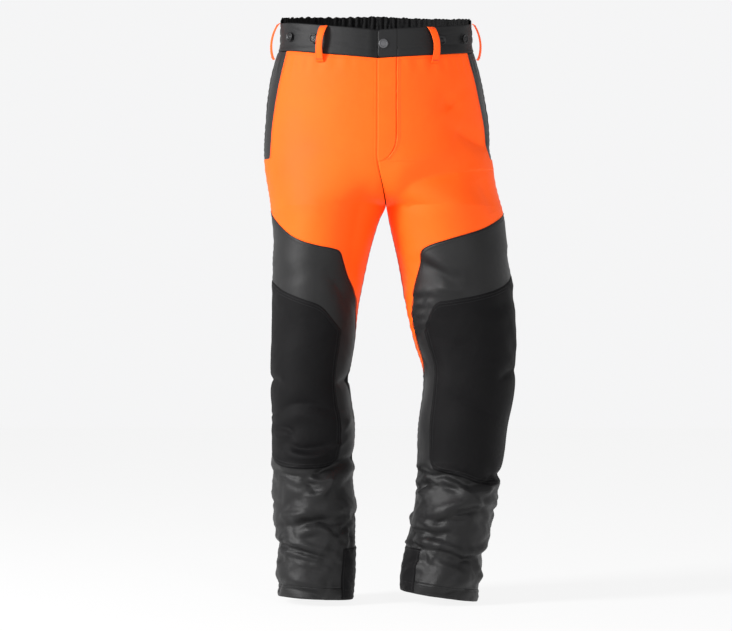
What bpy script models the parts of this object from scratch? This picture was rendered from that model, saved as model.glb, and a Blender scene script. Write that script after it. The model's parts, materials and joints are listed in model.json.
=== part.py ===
"""Chainsaw protective trousers, as the sewn panels, pads, trims and hardware they come apart into.

Metres, +Z up. The front faces -Y, so the wearer's right leg is at -X and the left leg at +X.
Shapes are worked out with heights above the lowest point of the hems, and everything hangs
from one empty that brings the centre of the waist to the world's origin.
"""

import math

import bmesh
import bpy
from mathutils import Vector

MM = 0.001
RIGHT = -1
LEFT = 1
SIDE_NAMES = {RIGHT: "right", LEFT: "left"}

# ---------------------------------------------------------------- driving dimensions

CROTCH_HEIGHT = 0.712
FORK_RISE = 0.110  # height over which the two legs open out into the hips
WAIST_CENTRE = Vector((-0.024, 0.0, 1.018))
SIDE_SEAM_TOP = 0.991  # height of the waist seam at the sides
BAND_HEIGHT = 0.050
HEM_BAND_HEIGHT = 0.021
POCKET_FLOOR = 0.7965  # lower end of the slanted hip pocket
POCKET_MOUTH_TOP = 0.1575  # distance of the pocket mouth from the centre line, at the waist
POCKET_MOUTH_LOW = 0.1900  # and at its lower end
KNEE_SEAM_HEIGHT = 0.400  # seam across the back of the knee

# Height of the waist seam against the share of the way round from the centre front to the
# centre back: it dips in front and rises behind.
SEAM_LINE = {
    RIGHT: ((0.0, 0.9675), (0.18, 0.9775), (0.34, 0.9865), (0.50, 0.9915), (0.75, 1.004), (1.0, 1.012)),
    LEFT: ((0.0, 0.9675), (0.18, 0.9750), (0.34, 0.9825), (0.50, 0.9905), (0.75, 1.004), (1.0, 1.012)),
}
BAND_EXTRA = ((0.47, 0.0), (0.53, 0.009), (0.62, 0.008), (0.85, 0.004), (1.0, 0.003))  # height added behind

# Places of the outer and inner edges, front and back against height. The right leg stands
# straight and the left one leans in at the ankle.
OUTER_EDGE = {
    RIGHT: (
        (0.000, -0.2005), (0.050, -0.2045), (0.110, -0.2030), (0.180, -0.2100), (0.300, -0.2135),
        (0.534, -0.2133), (0.640, -0.2115), (0.712, -0.2170), (0.793, -0.2275), (0.850, -0.2270),
        (0.922, -0.2187), (0.966, -0.2100), (0.985, -0.2045), (1.000, -0.1980), (1.080, -0.1970),
    ),
    LEFT: (
        (0.000, 0.1557), (0.058, 0.1640), (0.145, 0.1810), (0.231, 0.1971), (0.318, 0.2115),
        (0.404, 0.2245), (0.480, 0.2235), (0.620, 0.2130), (0.712, 0.2000), (0.793, 0.1863),
        (0.879, 0.1755), (0.922, 0.1670), (0.966, 0.1565), (0.985, 0.1510), (1.000, 0.1460),
        (1.080, 0.1450),
    ),
}
INNER_EDGE = {
    RIGHT: (
        (0.000, -0.0690), (0.050, -0.0650), (0.166, -0.0625), (0.231, -0.0690), (0.310, -0.0645),
        (0.404, -0.0730), (0.470, -0.0640), (0.534, -0.0560), (0.620, -0.0369), (0.685, -0.0185),
        (0.712, -0.0083),
    ),
    LEFT: (
        (0.000, 0.0185), (0.058, 0.0200), (0.145, 0.0385), (0.210, 0.0475), (0.310, 0.0490),
        (0.410, 0.0590), (0.469, 0.0423), (0.534, 0.0279), (0.620, 0.0117), (0.685, -0.0030),
        (0.712, -0.0077),
    ),
}
FRONT_LINE = (
    (0.000, -0.070), (0.100, -0.073), (0.270, -0.078), (0.404, -0.086), (0.534, -0.096),
    (0.620, -0.104), (0.712, -0.1150), (0.790, -0.1225), (0.880, -0.1208), (0.966, -0.1192),
    (1.020, -0.1182), (1.080, -0.1172),
)
BACK_LINE = (
    (0.000, 0.078), (0.100, 0.082), (0.270, 0.088), (0.404, 0.080), (0.534, 0.092),
    (0.620, 0.104), (0.712, 0.124), (0.790, 0.144), (0.880, 0.139), (0.966, 0.124),
    (1.010, 0.1175), (1.080, 0.1165),
)
CENTRE_LINE = ((0.712, -0.008), (0.745, -0.015), (0.790, -0.024), (0.830, -0.024), (1.080, -0.024))
HEM_LINE = {RIGHT: (0.007, -0.069, -0.045), LEFT: (0.023, 0.019, -0.146)}  # height, at x, slope
HEM_DROP = 0.045  # how much lower the hem hangs behind than in front, as a slope

# Top edge of the leg panel: share of the way round the leg from the inseam, height.
PANEL_EDGE = {
    RIGHT: (
        (0.000, 0.409), (0.020, 0.455), (0.048, 0.528), (0.088, 0.557), (0.130, 0.583),
        (0.160, 0.608), (0.182, 0.627), (0.210, 0.6335), (0.260, 0.639), (0.320, 0.6485),
        (0.380, 0.664), (0.440, 0.685), (0.500, 0.706),
    ),
    LEFT: (
        (0.000, 0.405), (0.030, 0.428), (0.050, 0.462), (0.066, 0.502), (0.098, 0.560),
        (0.134, 0.602), (0.150, 0.626), (0.170, 0.6365), (0.240, 0.650), (0.340, 0.668),
        (0.420, 0.686), (0.500, 0.701),
    ),
}
PATCH_TOP = {
    RIGHT: (
        (0.136, 0.489), (0.170, 0.505), (0.228, 0.533), (0.293, 0.5455), (0.375, 0.560), (0.480, 0.580),
    ),
    LEFT: (
        (0.112, 0.488), (0.140, 0.512), (0.176, 0.538), (0.215, 0.543), (0.300, 0.552),
        (0.400, 0.568), (0.480, 0.587),
    ),
}
PATCH_BOTTOM = {
    RIGHT: (
        (0.136, 0.262), (0.170, 0.249), (0.260, 0.245), (0.340, 0.247), (0.400, 0.252), (0.480, 0.266),
    ),
    LEFT: (
        (0.112, 0.262), (0.150, 0.243), (0.250, 0.231), (0.330, 0.218), (0.400, 0.215), (0.480, 0.220),
    ),
}
KICK_PATCH_SHARE = 0.130  # half the width of the patch inside the ankle

# ---------------------------------------------------------------- cloth layers

GAP = 0.6 * MM
SHELL = (0.0, 1.2 * MM)  # depth of a layer's outer and inner faces under the outer surface
PATCH = (-2.9 * MM, -1.7 * MM)
POCKET_FLAP = (-6.0 * MM, -4.8 * MM)
FACING = (2.6 * MM, 3.6 * MM)
POCKET_BAG = (4.8 * MM, 5.6 * MM)
GUARD = (8.6 * MM, 13.6 * MM)
LINING = (17.2 * MM, 18.0 * MM)
BAND = (-1.0 * MM, 2.4 * MM)
UNDERLAP = (5.0 * MM, 7.4 * MM)
ELASTIC = (3.2 * MM, 5.0 * MM)

SIDE_SEAM = 0.5  # share of the way round at the side seam
SEAM_SHARE = 0.0008  # half the gap at a seam, as a share of the way round
CENTRE_GAP = 0.6 * MM
BAND_SPLIT = 0.47  # where the front waistband meets the gathered back one

# ---------------------------------------------------------------- fly and hardware

FLY_WIDTH = 0.033
FLY_LOW = 0.786
FLY_CURVE = 0.046  # height of the curved foot of the fly
FLY_GAP = 0.5 * MM
HINGE_OFFSET = 0.0340  # distance of the flap's fold from the centre line
ZIP_OFFSET = 0.0130  # distance of the zip from the centre line, under the flap
ZIP_LOW = 0.802
ZIP_HIGH = 0.962
ZIP_SETBACK = 3.0 * MM  # extra room behind the flap, so that the pull can lift a little
TOOTH_PITCH = 5.0 * MM
SNAP_OFFSET = 0.0105
LOOP_WIDTH = 0.014
LOOP_BOW = 0.010
LOOP_THICKNESS = 1.6 * MM
LOOP_BELOW_SEAM = 0.015
FRONT_LOOP_OFFSET = 0.0930  # distances from the centre line
OUTER_BUTTON_OFFSET = 0.1530
INNER_BUTTON_OFFSET = 0.1110
SIDE_LOOP_SHARE = 0.480
BACK_LOOP_SHARE = 0.740
BACK_BUTTON_SHARE = 0.930


# ---------------------------------------------------------------- curves and the outer surface


def follow(stations, where):
    """The value of a smooth curve through (place, value) stations."""
    places = [station[0] for station in stations]
    values = [station[1] for station in stations]
    if where <= places[0]:
        return values[0]
    if where >= places[-1]:
        return values[-1]
    last = len(stations) - 1
    i = max(k for k in range(last) if places[k] <= where)

    def slope(k):
        low, high = max(k - 1, 0), min(k + 1, last)
        return (values[high] - values[low]) / (places[high] - places[low])

    span = places[i + 1] - places[i]
    s = (where - places[i]) / span
    start = (1 + 2 * s) * (1 - s) ** 2 * values[i] + s * (1 - s) ** 2 * span * slope(i)
    end = s * s * (3 - 2 * s) * values[i + 1] + s * s * (s - 1) * span * slope(i + 1)
    return start + end


def section(side, z):
    """Centre x, centre y, half width, half depth and start angle of one half's outline."""
    outer = follow(OUTER_EDGE[side], z)
    front = follow(FRONT_LINE, z)
    back = follow(BACK_LINE, z)
    rise = min(1.0, max(0.0, (z - CROTCH_HEIGHT) / FORK_RISE))
    start = 0.5 * math.pi * math.sqrt(1.0 - (1.0 - rise) ** 2)
    if z < CROTCH_HEIGHT:
        inner = follow(INNER_EDGE[side], z)
    else:
        inner = follow(CENTRE_LINE, z) + side * 0.5 * CENTRE_GAP
    half_width = abs(outer - inner) / (1.0 + math.cos(start))
    return outer - side * half_width, 0.5 * (front + back), half_width, 0.5 * (back - front), start


def layer(side, t, z, depth):
    """A point of one half, the given depth inside its outer surface.

    t runs from the inseam (0) round the front, the outer side (0.5) and the back (1). Both radii
    shrink with depth, so layers nest inside each other and never cross.
    """
    centre_x, centre_y, half_width, half_depth, start = section(side, z)
    angle = start + t * (2.0 * math.pi - 2.0 * start)
    return Vector((
        centre_x - side * (half_width - depth) * math.cos(angle),
        centre_y - (half_depth - depth) * math.sin(angle),
        z,
    ))


def outward(side, t, z):
    """Unit normal of the outer surface, pointing out."""
    step = 0.002
    around = layer(side, t + step, z, 0.0) - layer(side, t - step, z, 0.0)
    upward = layer(side, t, z + step, 0.0) - layer(side, t, z - step, 0.0)
    return (around.cross(upward) * side).normalized()


def t_at(side, z, offset):
    """The t at which the front surface stands this far from the centre line."""
    centre_x, _, half_width, _, start = section(side, z)
    x = follow(CENTRE_LINE, z) + side * offset
    cosine = max(-1.0, min(1.0, side * (centre_x - x) / half_width))
    return (math.acos(cosine) - start) / (2.0 * math.pi - 2.0 * start)


def front_point(offset, z, depth):
    """A point near the centre front: offset is positive towards the wearer's left."""
    side = LEFT if offset >= 0.0 else RIGHT
    return layer(side, t_at(side, z, abs(offset)), z, depth)


def seam_height(side, t):
    """Height of the waist seam."""
    return follow(SEAM_LINE[side], t)


def seam_by_offset(offset):
    """Height of the waist seam this far from the centre line, on the wearer's left."""
    return seam_height(LEFT, t_at(LEFT, SIDE_SEAM_TOP, offset))


def band_height(t):
    """The band is a little taller from the sides to the back."""
    return BAND_HEIGHT + follow(BAND_EXTRA, t)


def hem_height(side, t):
    """Height of the leg's lower edge."""
    height, at_x, slope = HEM_LINE[side]
    place = layer(side, t, 0.01, 0.0)
    return height + slope * (place.x - at_x) - HEM_DROP * place.y


# ---------------------------------------------------------------- mesh helpers

for old in list(bpy.data.objects):
    bpy.data.objects.remove(old)
materials = {}
frame = bpy.data.objects.new("waist_frame", None)
frame.location = -WAIST_CENTRE
bpy.context.scene.collection.objects.link(frame)


def material(name, colour, roughness, metallic=0.0):
    """A plain material."""
    made = bpy.data.materials.new(name)
    made.use_nodes = True
    shader = made.node_tree.nodes["Principled BSDF"]
    shader.inputs["Base Color"].default_value = (*colour, 1.0)
    shader.inputs["Roughness"].default_value = roughness
    shader.inputs["Metallic"].default_value = metallic
    made.diffuse_color = (*colour, 1.0)
    materials[name] = made


def add_object(name, bm, slot, origin=None):
    """Turns a bmesh into an object hung from the waist frame, its origin where given."""
    bmesh.ops.recalc_face_normals(bm, faces=bm.faces)
    if origin is not None:
        bmesh.ops.translate(bm, verts=bm.verts, vec=-origin)
    mesh = bpy.data.meshes.new(name)
    bm.to_mesh(mesh)
    bm.free()
    mesh.materials.append(materials[slot])
    mesh.shade_smooth()
    mesh.set_sharp_from_angle(angle=math.radians(35))
    made = bpy.data.objects.new(name, mesh)
    made.parent = frame
    if origin is not None:
        made.location = origin
    bpy.context.scene.collection.objects.link(made)
    return made


def closed_sheet(name, outer, inner, slot, wrap=False, origin=None):
    """A closed solid between two grids of points (lists of columns) of the same size."""
    bm = bmesh.new()
    grids = [[[bm.verts.new(p) for p in column] for column in grid] for grid in (outer, inner)]
    columns, rows = len(outer), len(outer[0])
    spans = columns if wrap else columns - 1
    for i in range(spans):
        k = (i + 1) % columns
        for j in range(rows - 1):
            for grid in grids:
                bm.faces.new((grid[i][j], grid[k][j], grid[k][j + 1], grid[i][j + 1]))
        for j in (0, rows - 1):
            bm.faces.new((grids[0][i][j], grids[0][k][j], grids[1][k][j], grids[1][i][j]))
    if not wrap:
        for i in (0, columns - 1):
            for j in range(rows - 1):
                bm.faces.new((grids[0][i][j], grids[0][i][j + 1], grids[1][i][j + 1], grids[1][i][j]))
    return add_object(name, bm, slot, origin)


def half_panel(name, side, shares, heights, depths, slot, wrap=False):
    """A cloth panel on one half: heights(t) lists its rows of points up each column."""
    outer, inner = [[[layer(side, t, z, d) for z in heights(t)] for t in shares] for d in depths]
    return closed_sheet(name, outer, inner, slot, wrap)


def evenly(first, last, steps):
    """Steps + 1 evenly spaced numbers."""
    return [first + (last - first) * i / steps for i in range(steps + 1)]


def turned(name, profile, centre, axis, slot, origin=None, steps=14):
    """A solid turned from (radius, height) points about an axis through centre."""
    bm = bmesh.new()
    turn = axis.to_track_quat("Z", "Y").to_matrix()
    rings = []
    for radius, height in profile:
        if radius == 0.0:
            rings.append([bm.verts.new(centre + turn @ Vector((0.0, 0.0, height)))])
            continue
        angles = [2.0 * math.pi * k / steps for k in range(steps)]
        points = [Vector((radius * math.cos(a), radius * math.sin(a), height)) for a in angles]
        rings.append([bm.verts.new(centre + turn @ p) for p in points])
    for low, high in zip(rings, rings[1:]):
        for k in range(steps):
            n = (k + 1) % steps
            if len(low) == 1:
                bm.faces.new((low[0], high[k], high[n]))
            elif len(high) == 1:
                bm.faces.new((low[k], low[n], high[0]))
            else:
                bm.faces.new((low[k], low[n], high[n], high[k]))
    return add_object(name, bm, slot, origin)


def block(bm, frame_at, low, high):
    """Adds a box to a bmesh, its corners given in a local frame (a function of x, y, z)."""
    corners = [(x, y, z) for x in (low[0], high[0]) for y in (low[1], high[1]) for z in (low[2], high[2])]
    v = [bm.verts.new(frame_at(*corner)) for corner in corners]
    for face in ((0, 1, 3, 2), (4, 6, 7, 5), (0, 4, 5, 1), (2, 3, 7, 6), (0, 2, 6, 4), (1, 5, 7, 3)):
        bm.faces.new([v[k] for k in face])


def prism(name, outline, front, back):
    """An outline of (x, z) points extruded from front to back along Y."""
    bm = bmesh.new()
    rings = [[bm.verts.new((x, y, z)) for x, z in outline] for y in (front, back)]
    bm.faces.new(rings[0])
    bm.faces.new(rings[1])
    for k in range(len(outline)):
        n = (k + 1) % len(outline)
        bm.faces.new((rings[0][k], rings[0][n], rings[1][n], rings[1][k]))
    return add_object(name, bm, "orange_cloth")


def combine(target, guide, operation):
    """Adds or cuts a guide's shape, and keeps the guide out of the model."""
    guide.hide_render = True
    guide.display_type = "WIRE"
    tool = target.modifiers.new(operation.lower() + "_" + guide.name, "BOOLEAN")
    tool.object = guide
    tool.operation = operation
    tool.solver = "EXACT"


# ---------------------------------------------------------------- leg and body panels

FRONT_SHARES = [SEAM_SHARE, 0.030, 0.065, 0.100, 0.140, 0.175, 0.210, 0.260, 0.310, 0.360,
                0.410, 0.455, SIDE_SEAM - SEAM_SHARE]
BACK_SHARES = [SIDE_SEAM + SEAM_SHARE, 0.545, 0.590, 0.640, 0.690, 0.740, 0.790, 0.840, 0.890,
               0.935, 0.970, 1.0 - SEAM_SHARE]
LEG_LEVELS = [0.10, 0.17, 0.24, 0.31, 0.38]  # rows that every layer shares, so facets line up
THIGH_LEVELS = [0.45, 0.52, 0.59, 0.655]
FORK_LEVELS = [0.690, CROTCH_HEIGHT + 0.5 * MM]
HIP_LEVELS = [0.722, 0.752, 0.790, 0.830, 0.870, 0.912, 0.950]


def slash_cutter(side):
    """A prism that clears the slanted pocket mouth from the front upper panel."""
    outline = [(POCKET_MOUTH_TOP, 1.06), (POCKET_MOUTH_TOP, SIDE_SEAM_TOP), (POCKET_MOUTH_LOW, POCKET_FLOOR)]
    outline += [(0.30, POCKET_FLOOR), (0.30, 1.06)]
    centre = follow(CENTRE_LINE, 0.9)
    points = [(centre + side * x, z) for x, z in outline]
    return prism("pocket_cutter_" + SIDE_NAMES[side], points, -0.20, 0.05)


def front_upper(side):
    """Orange front of hip and thigh, cut away at the slanted pocket."""

    def heights(t):
        edge = follow(PANEL_EDGE[side], t) + 0.5 * GAP
        lower = [edge + (HIP_LEVELS[0] - edge) * share for share in (0.0, 0.3, 0.6, 0.85, 0.97)]
        return lower + HIP_LEVELS + [seam_height(side, t) - 0.5 * GAP]

    name = "front_upper_" + SIDE_NAMES[side]
    panel = half_panel(name, side, FRONT_SHARES, heights, SHELL, "orange_cloth")
    combine(panel, slash_cutter(side), "DIFFERENCE")
    return panel


def front_leg(side):
    """Grey front of the leg, from the thigh to the hem band."""

    def heights(t):
        low = hem_height(side, t) + HEM_BAND_HEIGHT + 0.5 * GAP
        edge = follow(PANEL_EDGE[side], t) - 0.5 * GAP
        return [low] + LEG_LEVELS[:-1] + evenly(LEG_LEVELS[-1], edge, 4)

    half_panel("front_leg_" + SIDE_NAMES[side], side, FRONT_SHARES, heights, SHELL, "grey_cloth")


def knee_patch(side):
    """Black wear patch sewn on over the knee."""

    def heights(t):
        bottom, top = follow(PATCH_BOTTOM[side], t), follow(PATCH_TOP[side], t)
        return [bottom, 0.31, 0.38] + evenly(0.45, top, 2)

    first, last = PATCH_TOP[side][0][0], PATCH_TOP[side][-1][0]
    shares = [first] + [t for t in FRONT_SHARES if first + 0.01 < t < last - 0.01] + [last]
    half_panel("knee_patch_" + SIDE_NAMES[side], side, shares, heights, PATCH, "black_cloth")


def ankle_patch(side):
    """Black kick patch inside the ankle, over the inseam."""

    def heights(t):
        return evenly(hem_height(side, t) + 1.0 * MM, LEG_LEVELS[0], 3)

    name = "ankle_patch_" + SIDE_NAMES[side]
    half_panel(name, side, evenly(-KICK_PATCH_SHARE, KICK_PATCH_SHARE, 8), heights, PATCH, "black_cloth")


def hem_band(side):
    """Turned-up hem round the lower edge of the leg."""

    def heights(t):
        low = hem_height(side, t)
        return [low, low + HEM_BAND_HEIGHT - 0.5 * GAP]

    shares = evenly(0.0, 1.0, 26)[:-1]
    depths = (SHELL[0], SHELL[1] + 0.6 * MM)
    name = "hem_band_" + SIDE_NAMES[side]
    half_panel(name, side, shares, heights, depths, "grey_cloth", wrap=True)


def back_panels(side):
    """Dark seat and thigh panel, and the calf panel under it."""

    def upper(t):
        knee, seam = KNEE_SEAM_HEIGHT + 0.5 * GAP, seam_height(side, t) - 0.5 * GAP
        return [knee] + THIGH_LEVELS + FORK_LEVELS + HIP_LEVELS + [seam]

    def lower(t):
        hem = hem_height(side, t) + HEM_BAND_HEIGHT + 0.5 * GAP
        return [hem] + LEG_LEVELS[:-1] + [KNEE_SEAM_HEIGHT - 0.5 * GAP]

    half_panel("back_panel_" + SIDE_NAMES[side], side, BACK_SHARES, upper, SHELL, "back_cloth")
    half_panel("back_leg_" + SIDE_NAMES[side], side, BACK_SHARES, lower, SHELL, "back_cloth")


def pocket(side):
    """Grey facing that shows in the slanted pocket mouth, and the bag behind it."""
    which = SIDE_NAMES[side]

    def facing(t):
        return [POCKET_FLOOR - 0.012] + HIP_LEVELS[3:] + [seam_height(side, t) - 1.0 * MM]

    def bag(t):
        return HIP_LEVELS + [seam_height(side, t) - 4.0 * MM]

    shares = [0.340] + [t for t in FRONT_SHARES if t > 0.35]
    half_panel("pocket_facing_" + which, side, shares, facing, FACING, "grey_cloth")
    shares = [t for t in FRONT_SHARES if 0.15 < t < 0.46]
    half_panel("pocket_bag_" + which, side, shares, bag, POCKET_BAG, "lining_cloth")


def guard_pad(side):
    """Cut-protection fibre layers inside the front of the leg."""
    shares = FRONT_SHARES[2:-1] + [SIDE_SEAM, 0.530]

    def heights(t):
        return [0.050] + LEG_LEVELS + THIGH_LEVELS + FORK_LEVELS + HIP_LEVELS[:-1]

    half_panel("saw_guard_pad_" + SIDE_NAMES[side], side, shares, heights, GUARD, "guard_fibre")


def lining(side):
    """Thin lining against the leg, open along the inseam."""
    shares = [0.006] + FRONT_SHARES[1:-1] + [SIDE_SEAM] + BACK_SHARES[2:-1:2] + [0.994]

    def heights(t):
        lower = [0.030] + LEG_LEVELS + THIGH_LEVELS + FORK_LEVELS
        return lower + HIP_LEVELS + [seam_height(side, t) - 0.004]

    half_panel("lining_" + SIDE_NAMES[side], side, shares, heights, LINING, "lining_cloth")


# ---------------------------------------------------------------- waist


def band_column(side, t, depth, rows, low_trim=0.0):
    """Points up the waistband at one place."""
    low = seam_height(side, t) + 0.5 * GAP + low_trim
    return [layer(side, t, z, depth) for z in evenly(low, low + band_height(t) - low_trim, rows)]


def front_band_right():
    """Right front band, running on under the left one to carry the snap's stud."""
    rows = 2

    def grid(depth, under_depth):
        columns = [band_column(RIGHT, t, depth, rows) for t in evenly(BAND_SPLIT - 0.002, 0.020, 12)]
        columns.append(band_column(RIGHT, 0.004, 0.5 * (depth + under_depth), rows))
        for offset in (0.004, 0.014, 0.024, 0.032):
            t = t_at(LEFT, SIDE_SEAM_TOP, offset)
            columns.append(band_column(LEFT, t, under_depth, rows))
        return columns

    closed_sheet(
        "waistband_front_right",
        grid(BAND[0], UNDERLAP[0]),
        grid(BAND[1], UNDERLAP[1]),
        "band_cloth",
    )


def front_band_left():
    """Left front band, from the fly's fold to the side."""
    first = t_at(LEFT, SIDE_SEAM_TOP, HINGE_OFFSET + 0.6 * MM)
    shares = evenly(first, BAND_SPLIT - 0.002, 12)
    grids = [[band_column(LEFT, t, depth, 2) for t in shares] for depth in BAND]
    closed_sheet("waistband_front_left", *grids, "band_cloth")


def back_band():
    """Gathered back band from side to side, and the elastic inside it."""
    shares = [BAND_SPLIT] + BACK_SHARES

    def grid(depth, low_trim, ends):
        around = [(RIGHT, t) for t in shares[ends:]] + [(LEFT, t) for t in reversed(shares[ends:])]
        return [band_column(side, t, depth, 2, low_trim) for side, t in around]

    closed_sheet("waistband_back", grid(BAND[0], 0.0, 0), grid(BAND[1], 0.0, 0), "elastic_band")
    elastic = [grid(depth, 0.008, 1) for depth in ELASTIC]
    closed_sheet("waist_elastic", *elastic, "elastic_band")


def band_frame(side, t):
    """Point, outward normal and tangent on the waistband's outer face at mid height."""
    z = seam_height(side, t) + 0.5 * band_height(t)
    normal = outward(side, t, z)
    tangent = Vector((0.0, 0.0, 1.0)).cross(normal).normalized()
    return layer(side, t, z, BAND[0]), normal, tangent


def belt_loop(name, side, t):
    """A tape bowed off the band, sewn below the waist seam and at the band's top."""
    seam = seam_height(side, t)
    foot = layer(side, t, seam - LOOP_BELOW_SEAM, -1.1 * MM)
    head = layer(side, t, seam + band_height(t) - 0.001, BAND[0] - 1.1 * MM)
    _, normal, tangent = band_frame(side, t)
    steps = 8
    middle = [
        foot.lerp(head, s) + normal * LOOP_BOW * math.sin(math.pi * s) ** 0.8
        for s in evenly(0.0, 1.0, steps)
    ]

    def grid(lift):
        return [
            [p + normal * lift + tangent * across for p in middle]
            for across in (-0.5 * LOOP_WIDTH, 0.5 * LOOP_WIDTH)
        ]

    closed_sheet(name, grid(LOOP_THICKNESS), grid(0.0), "orange_cloth")


BUTTON_PROFILE = (
    (0.0, 0.0), (2.2, 0.0), (2.2, 2.4), (7.2, 2.4), (8.5, 3.2), (8.5, 4.0), (7.4, 4.8), (0.0, 4.8),
)  # radius and height in millimetres: shank, flange, rim and flat face


def brace_button(name, side, t):
    """A tack button: a short shank with a broad flat head."""
    centre, normal, _ = band_frame(side, t)
    profile = [(radius * MM, height * MM) for radius, height in BUTTON_PROFILE]
    turned(name, profile, centre + normal * 0.6 * MM, normal, "button_metal")


# ---------------------------------------------------------------- fly


def fold_point(z):
    """A point on the straight line that the fly folds about."""
    low = front_point(HINGE_OFFSET, 0.840, -1.2 * MM)
    high = front_point(HINGE_OFFSET, 1.015, -1.2 * MM)
    return low.lerp(high, (z - low.z) / (high.z - low.z))


def fly_foot(offset, width, low):
    """Height of the fly's curved foot at a distance from the centre line."""
    share = min(1.0, abs(offset) / width)
    return low + FLY_CURVE * (1.0 - math.sqrt(1.0 - share * share))


def fly_cutter():
    """A prism that clears the fly's outline from the left front panel."""
    width, low = FLY_WIDTH + FLY_GAP, FLY_LOW - FLY_GAP
    outline = [(-0.010, low)]
    for step in range(9):
        angle = 0.5 * math.pi * step / 8
        outline.append((width * math.sin(angle), low + FLY_CURVE * (1.0 - math.cos(angle))))
    outline += [(width, 1.05), (-0.010, 1.05)]
    centre = follow(CENTRE_LINE, 0.9)
    return prism("fly_cutter", [(centre + x, z) for x, z in outline], -0.16, -0.09)


def fly_flap():
    """The overlapping placket that covers the zip; it folds along the stitched line."""
    offsets = [FLY_WIDTH * math.sin(0.5 * math.pi * k / 6) for k in range(7)]
    rows = 6

    def grid(depth):
        columns = []
        for offset in offsets:
            low = fly_foot(offset, FLY_WIDTH, FLY_LOW)
            high = seam_by_offset(offset) - 0.5 * GAP
            columns.append([front_point(offset, z, depth) for z in evenly(low, high, rows)])
        return columns

    origin = fold_point(0.90)
    closed_sheet("fly_flap", grid(SHELL[0]), grid(SHELL[1]), "orange_cloth", origin=origin)


def end_tab():
    """The waistband's overlapping end, with a rounded tip, that the snap closes."""

    def grid(depth):
        columns = []
        for offset in (0.0, 0.0012, 0.004, 0.010, 0.018, 0.026, FLY_WIDTH):
            seam = seam_by_offset(offset) + 0.5 * GAP
            share = max(0.0, 1.0 - offset / 0.010)
            trim = 0.007 * (1.0 - math.sqrt(1.0 - share * share))
            columns.append([
                front_point(offset + 0.0008, z, depth)
                for z in evenly(seam + trim, seam + BAND_HEIGHT - trim, 3)
            ])
        return columns

    origin = fold_point(0.995)
    return closed_sheet("waistband_end_tab", grid(BAND[0]), grid(BAND[1]), "band_cloth", origin=origin)


def turned_ring(name, profile, centre, axis, slot, origin=None, steps=14):
    """A ring turned from a closed (radius, height) outline about an axis through centre."""
    bm = bmesh.new()
    turn = axis.to_track_quat("Z", "Y").to_matrix()
    rings = []
    for k in range(steps):
        a = 2.0 * math.pi * k / steps
        points = [Vector((r * math.cos(a), r * math.sin(a), height)) for r, height in profile]
        rings.append([bm.verts.new(centre + turn @ p) for p in points])
    for k in range(steps):
        low, high = rings[k], rings[(k + 1) % steps]
        for i in range(len(profile)):
            n = (i + 1) % len(profile)
            bm.faces.new((low[i], low[n], high[n], high[i]))
    return add_object(name, bm, slot, origin)


def in_metres(profile, lift=0.0):
    """A (radius, height) profile in millimetres, raised and turned into metres."""
    return [(radius * MM, (height + lift) * MM) for radius, height in profile]


SNAP_CAP = (
    (0.0, -3.6), (1.3, -3.6), (1.3, 0.0), (8.5, 0.0), (8.5, 0.9), (7.6, 1.7), (6.2, 1.9),
    (5.4, 1.4), (0.0, 1.4),
)
SNAP_SOCKET = ((1.9, -3.7), (5.0, -3.7), (5.0, -4.7), (1.9, -4.7))
SNAP_STUD = ((0.0, -5.7), (5.0, -5.7), (5.0, -5.1), (1.4, -5.1), (1.4, -4.0), (0.0, -4.0))
SNAP_HOLE = ((0.0, -20.0), (1.7, -20.0), (1.7, 20.0), (0.0, 20.0))


def snap(tab):
    """Press snap: cap and socket on the end tab, stud on the underlap. Heights are off the tab."""
    z = seam_by_offset(SNAP_OFFSET) + 0.5 * BAND_HEIGHT
    share = t_at(LEFT, z, SNAP_OFFSET)
    normal = outward(LEFT, share, z)
    face = layer(LEFT, share, z, BAND[0])
    origin = fold_point(z)
    turned("snap_cap", in_metres(SNAP_CAP, 0.4), face, normal, "snap_metal", origin)
    turned_ring("snap_socket", in_metres(SNAP_SOCKET), face, normal, "snap_metal", origin)
    turned("snap_stud", in_metres(SNAP_STUD), face, normal, "snap_metal")
    hole = turned("snap_hole", in_metres(SNAP_HOLE), face, normal, "snap_metal")
    combine(tab, hole, "DIFFERENCE")


def zip_point(x, depth, z):
    """A point by the zip's straight line: x to the wearer's left, depth under the flap's face."""
    low = front_point(ZIP_OFFSET, ZIP_LOW, 0.0)
    high = front_point(ZIP_OFFSET, ZIP_HIGH, 0.0)
    line = low.lerp(high, (z - ZIP_LOW) / (ZIP_HIGH - ZIP_LOW))
    return line + Vector((x, depth + ZIP_SETBACK, 0.0))


def zip_block(name, x, depth, z, slot, origin=None):
    """A box beside the zip's line, from (low, high) pairs in metres."""
    bm = bmesh.new()
    block(bm, zip_point, (x[0], depth[0], z[0]), (x[1], depth[1], z[1]))
    return add_object(name, bm, slot, origin)


def zip_extrusion(name, outline, z, slot, origin=None):
    """An outline of (x, depth) millimetres extruded up the zip's line."""
    bm = bmesh.new()
    rings = [[bm.verts.new(zip_point(x * MM, d * MM, height)) for x, d in outline] for height in z]
    bm.faces.new(rings[0])
    bm.faces.new(rings[1])
    for k in range(len(outline)):
        n = (k + 1) % len(outline)
        bm.faces.new((rings[0][k], rings[0][n], rings[1][n], rings[1][k]))
    return add_object(name, bm, slot, origin)


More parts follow.
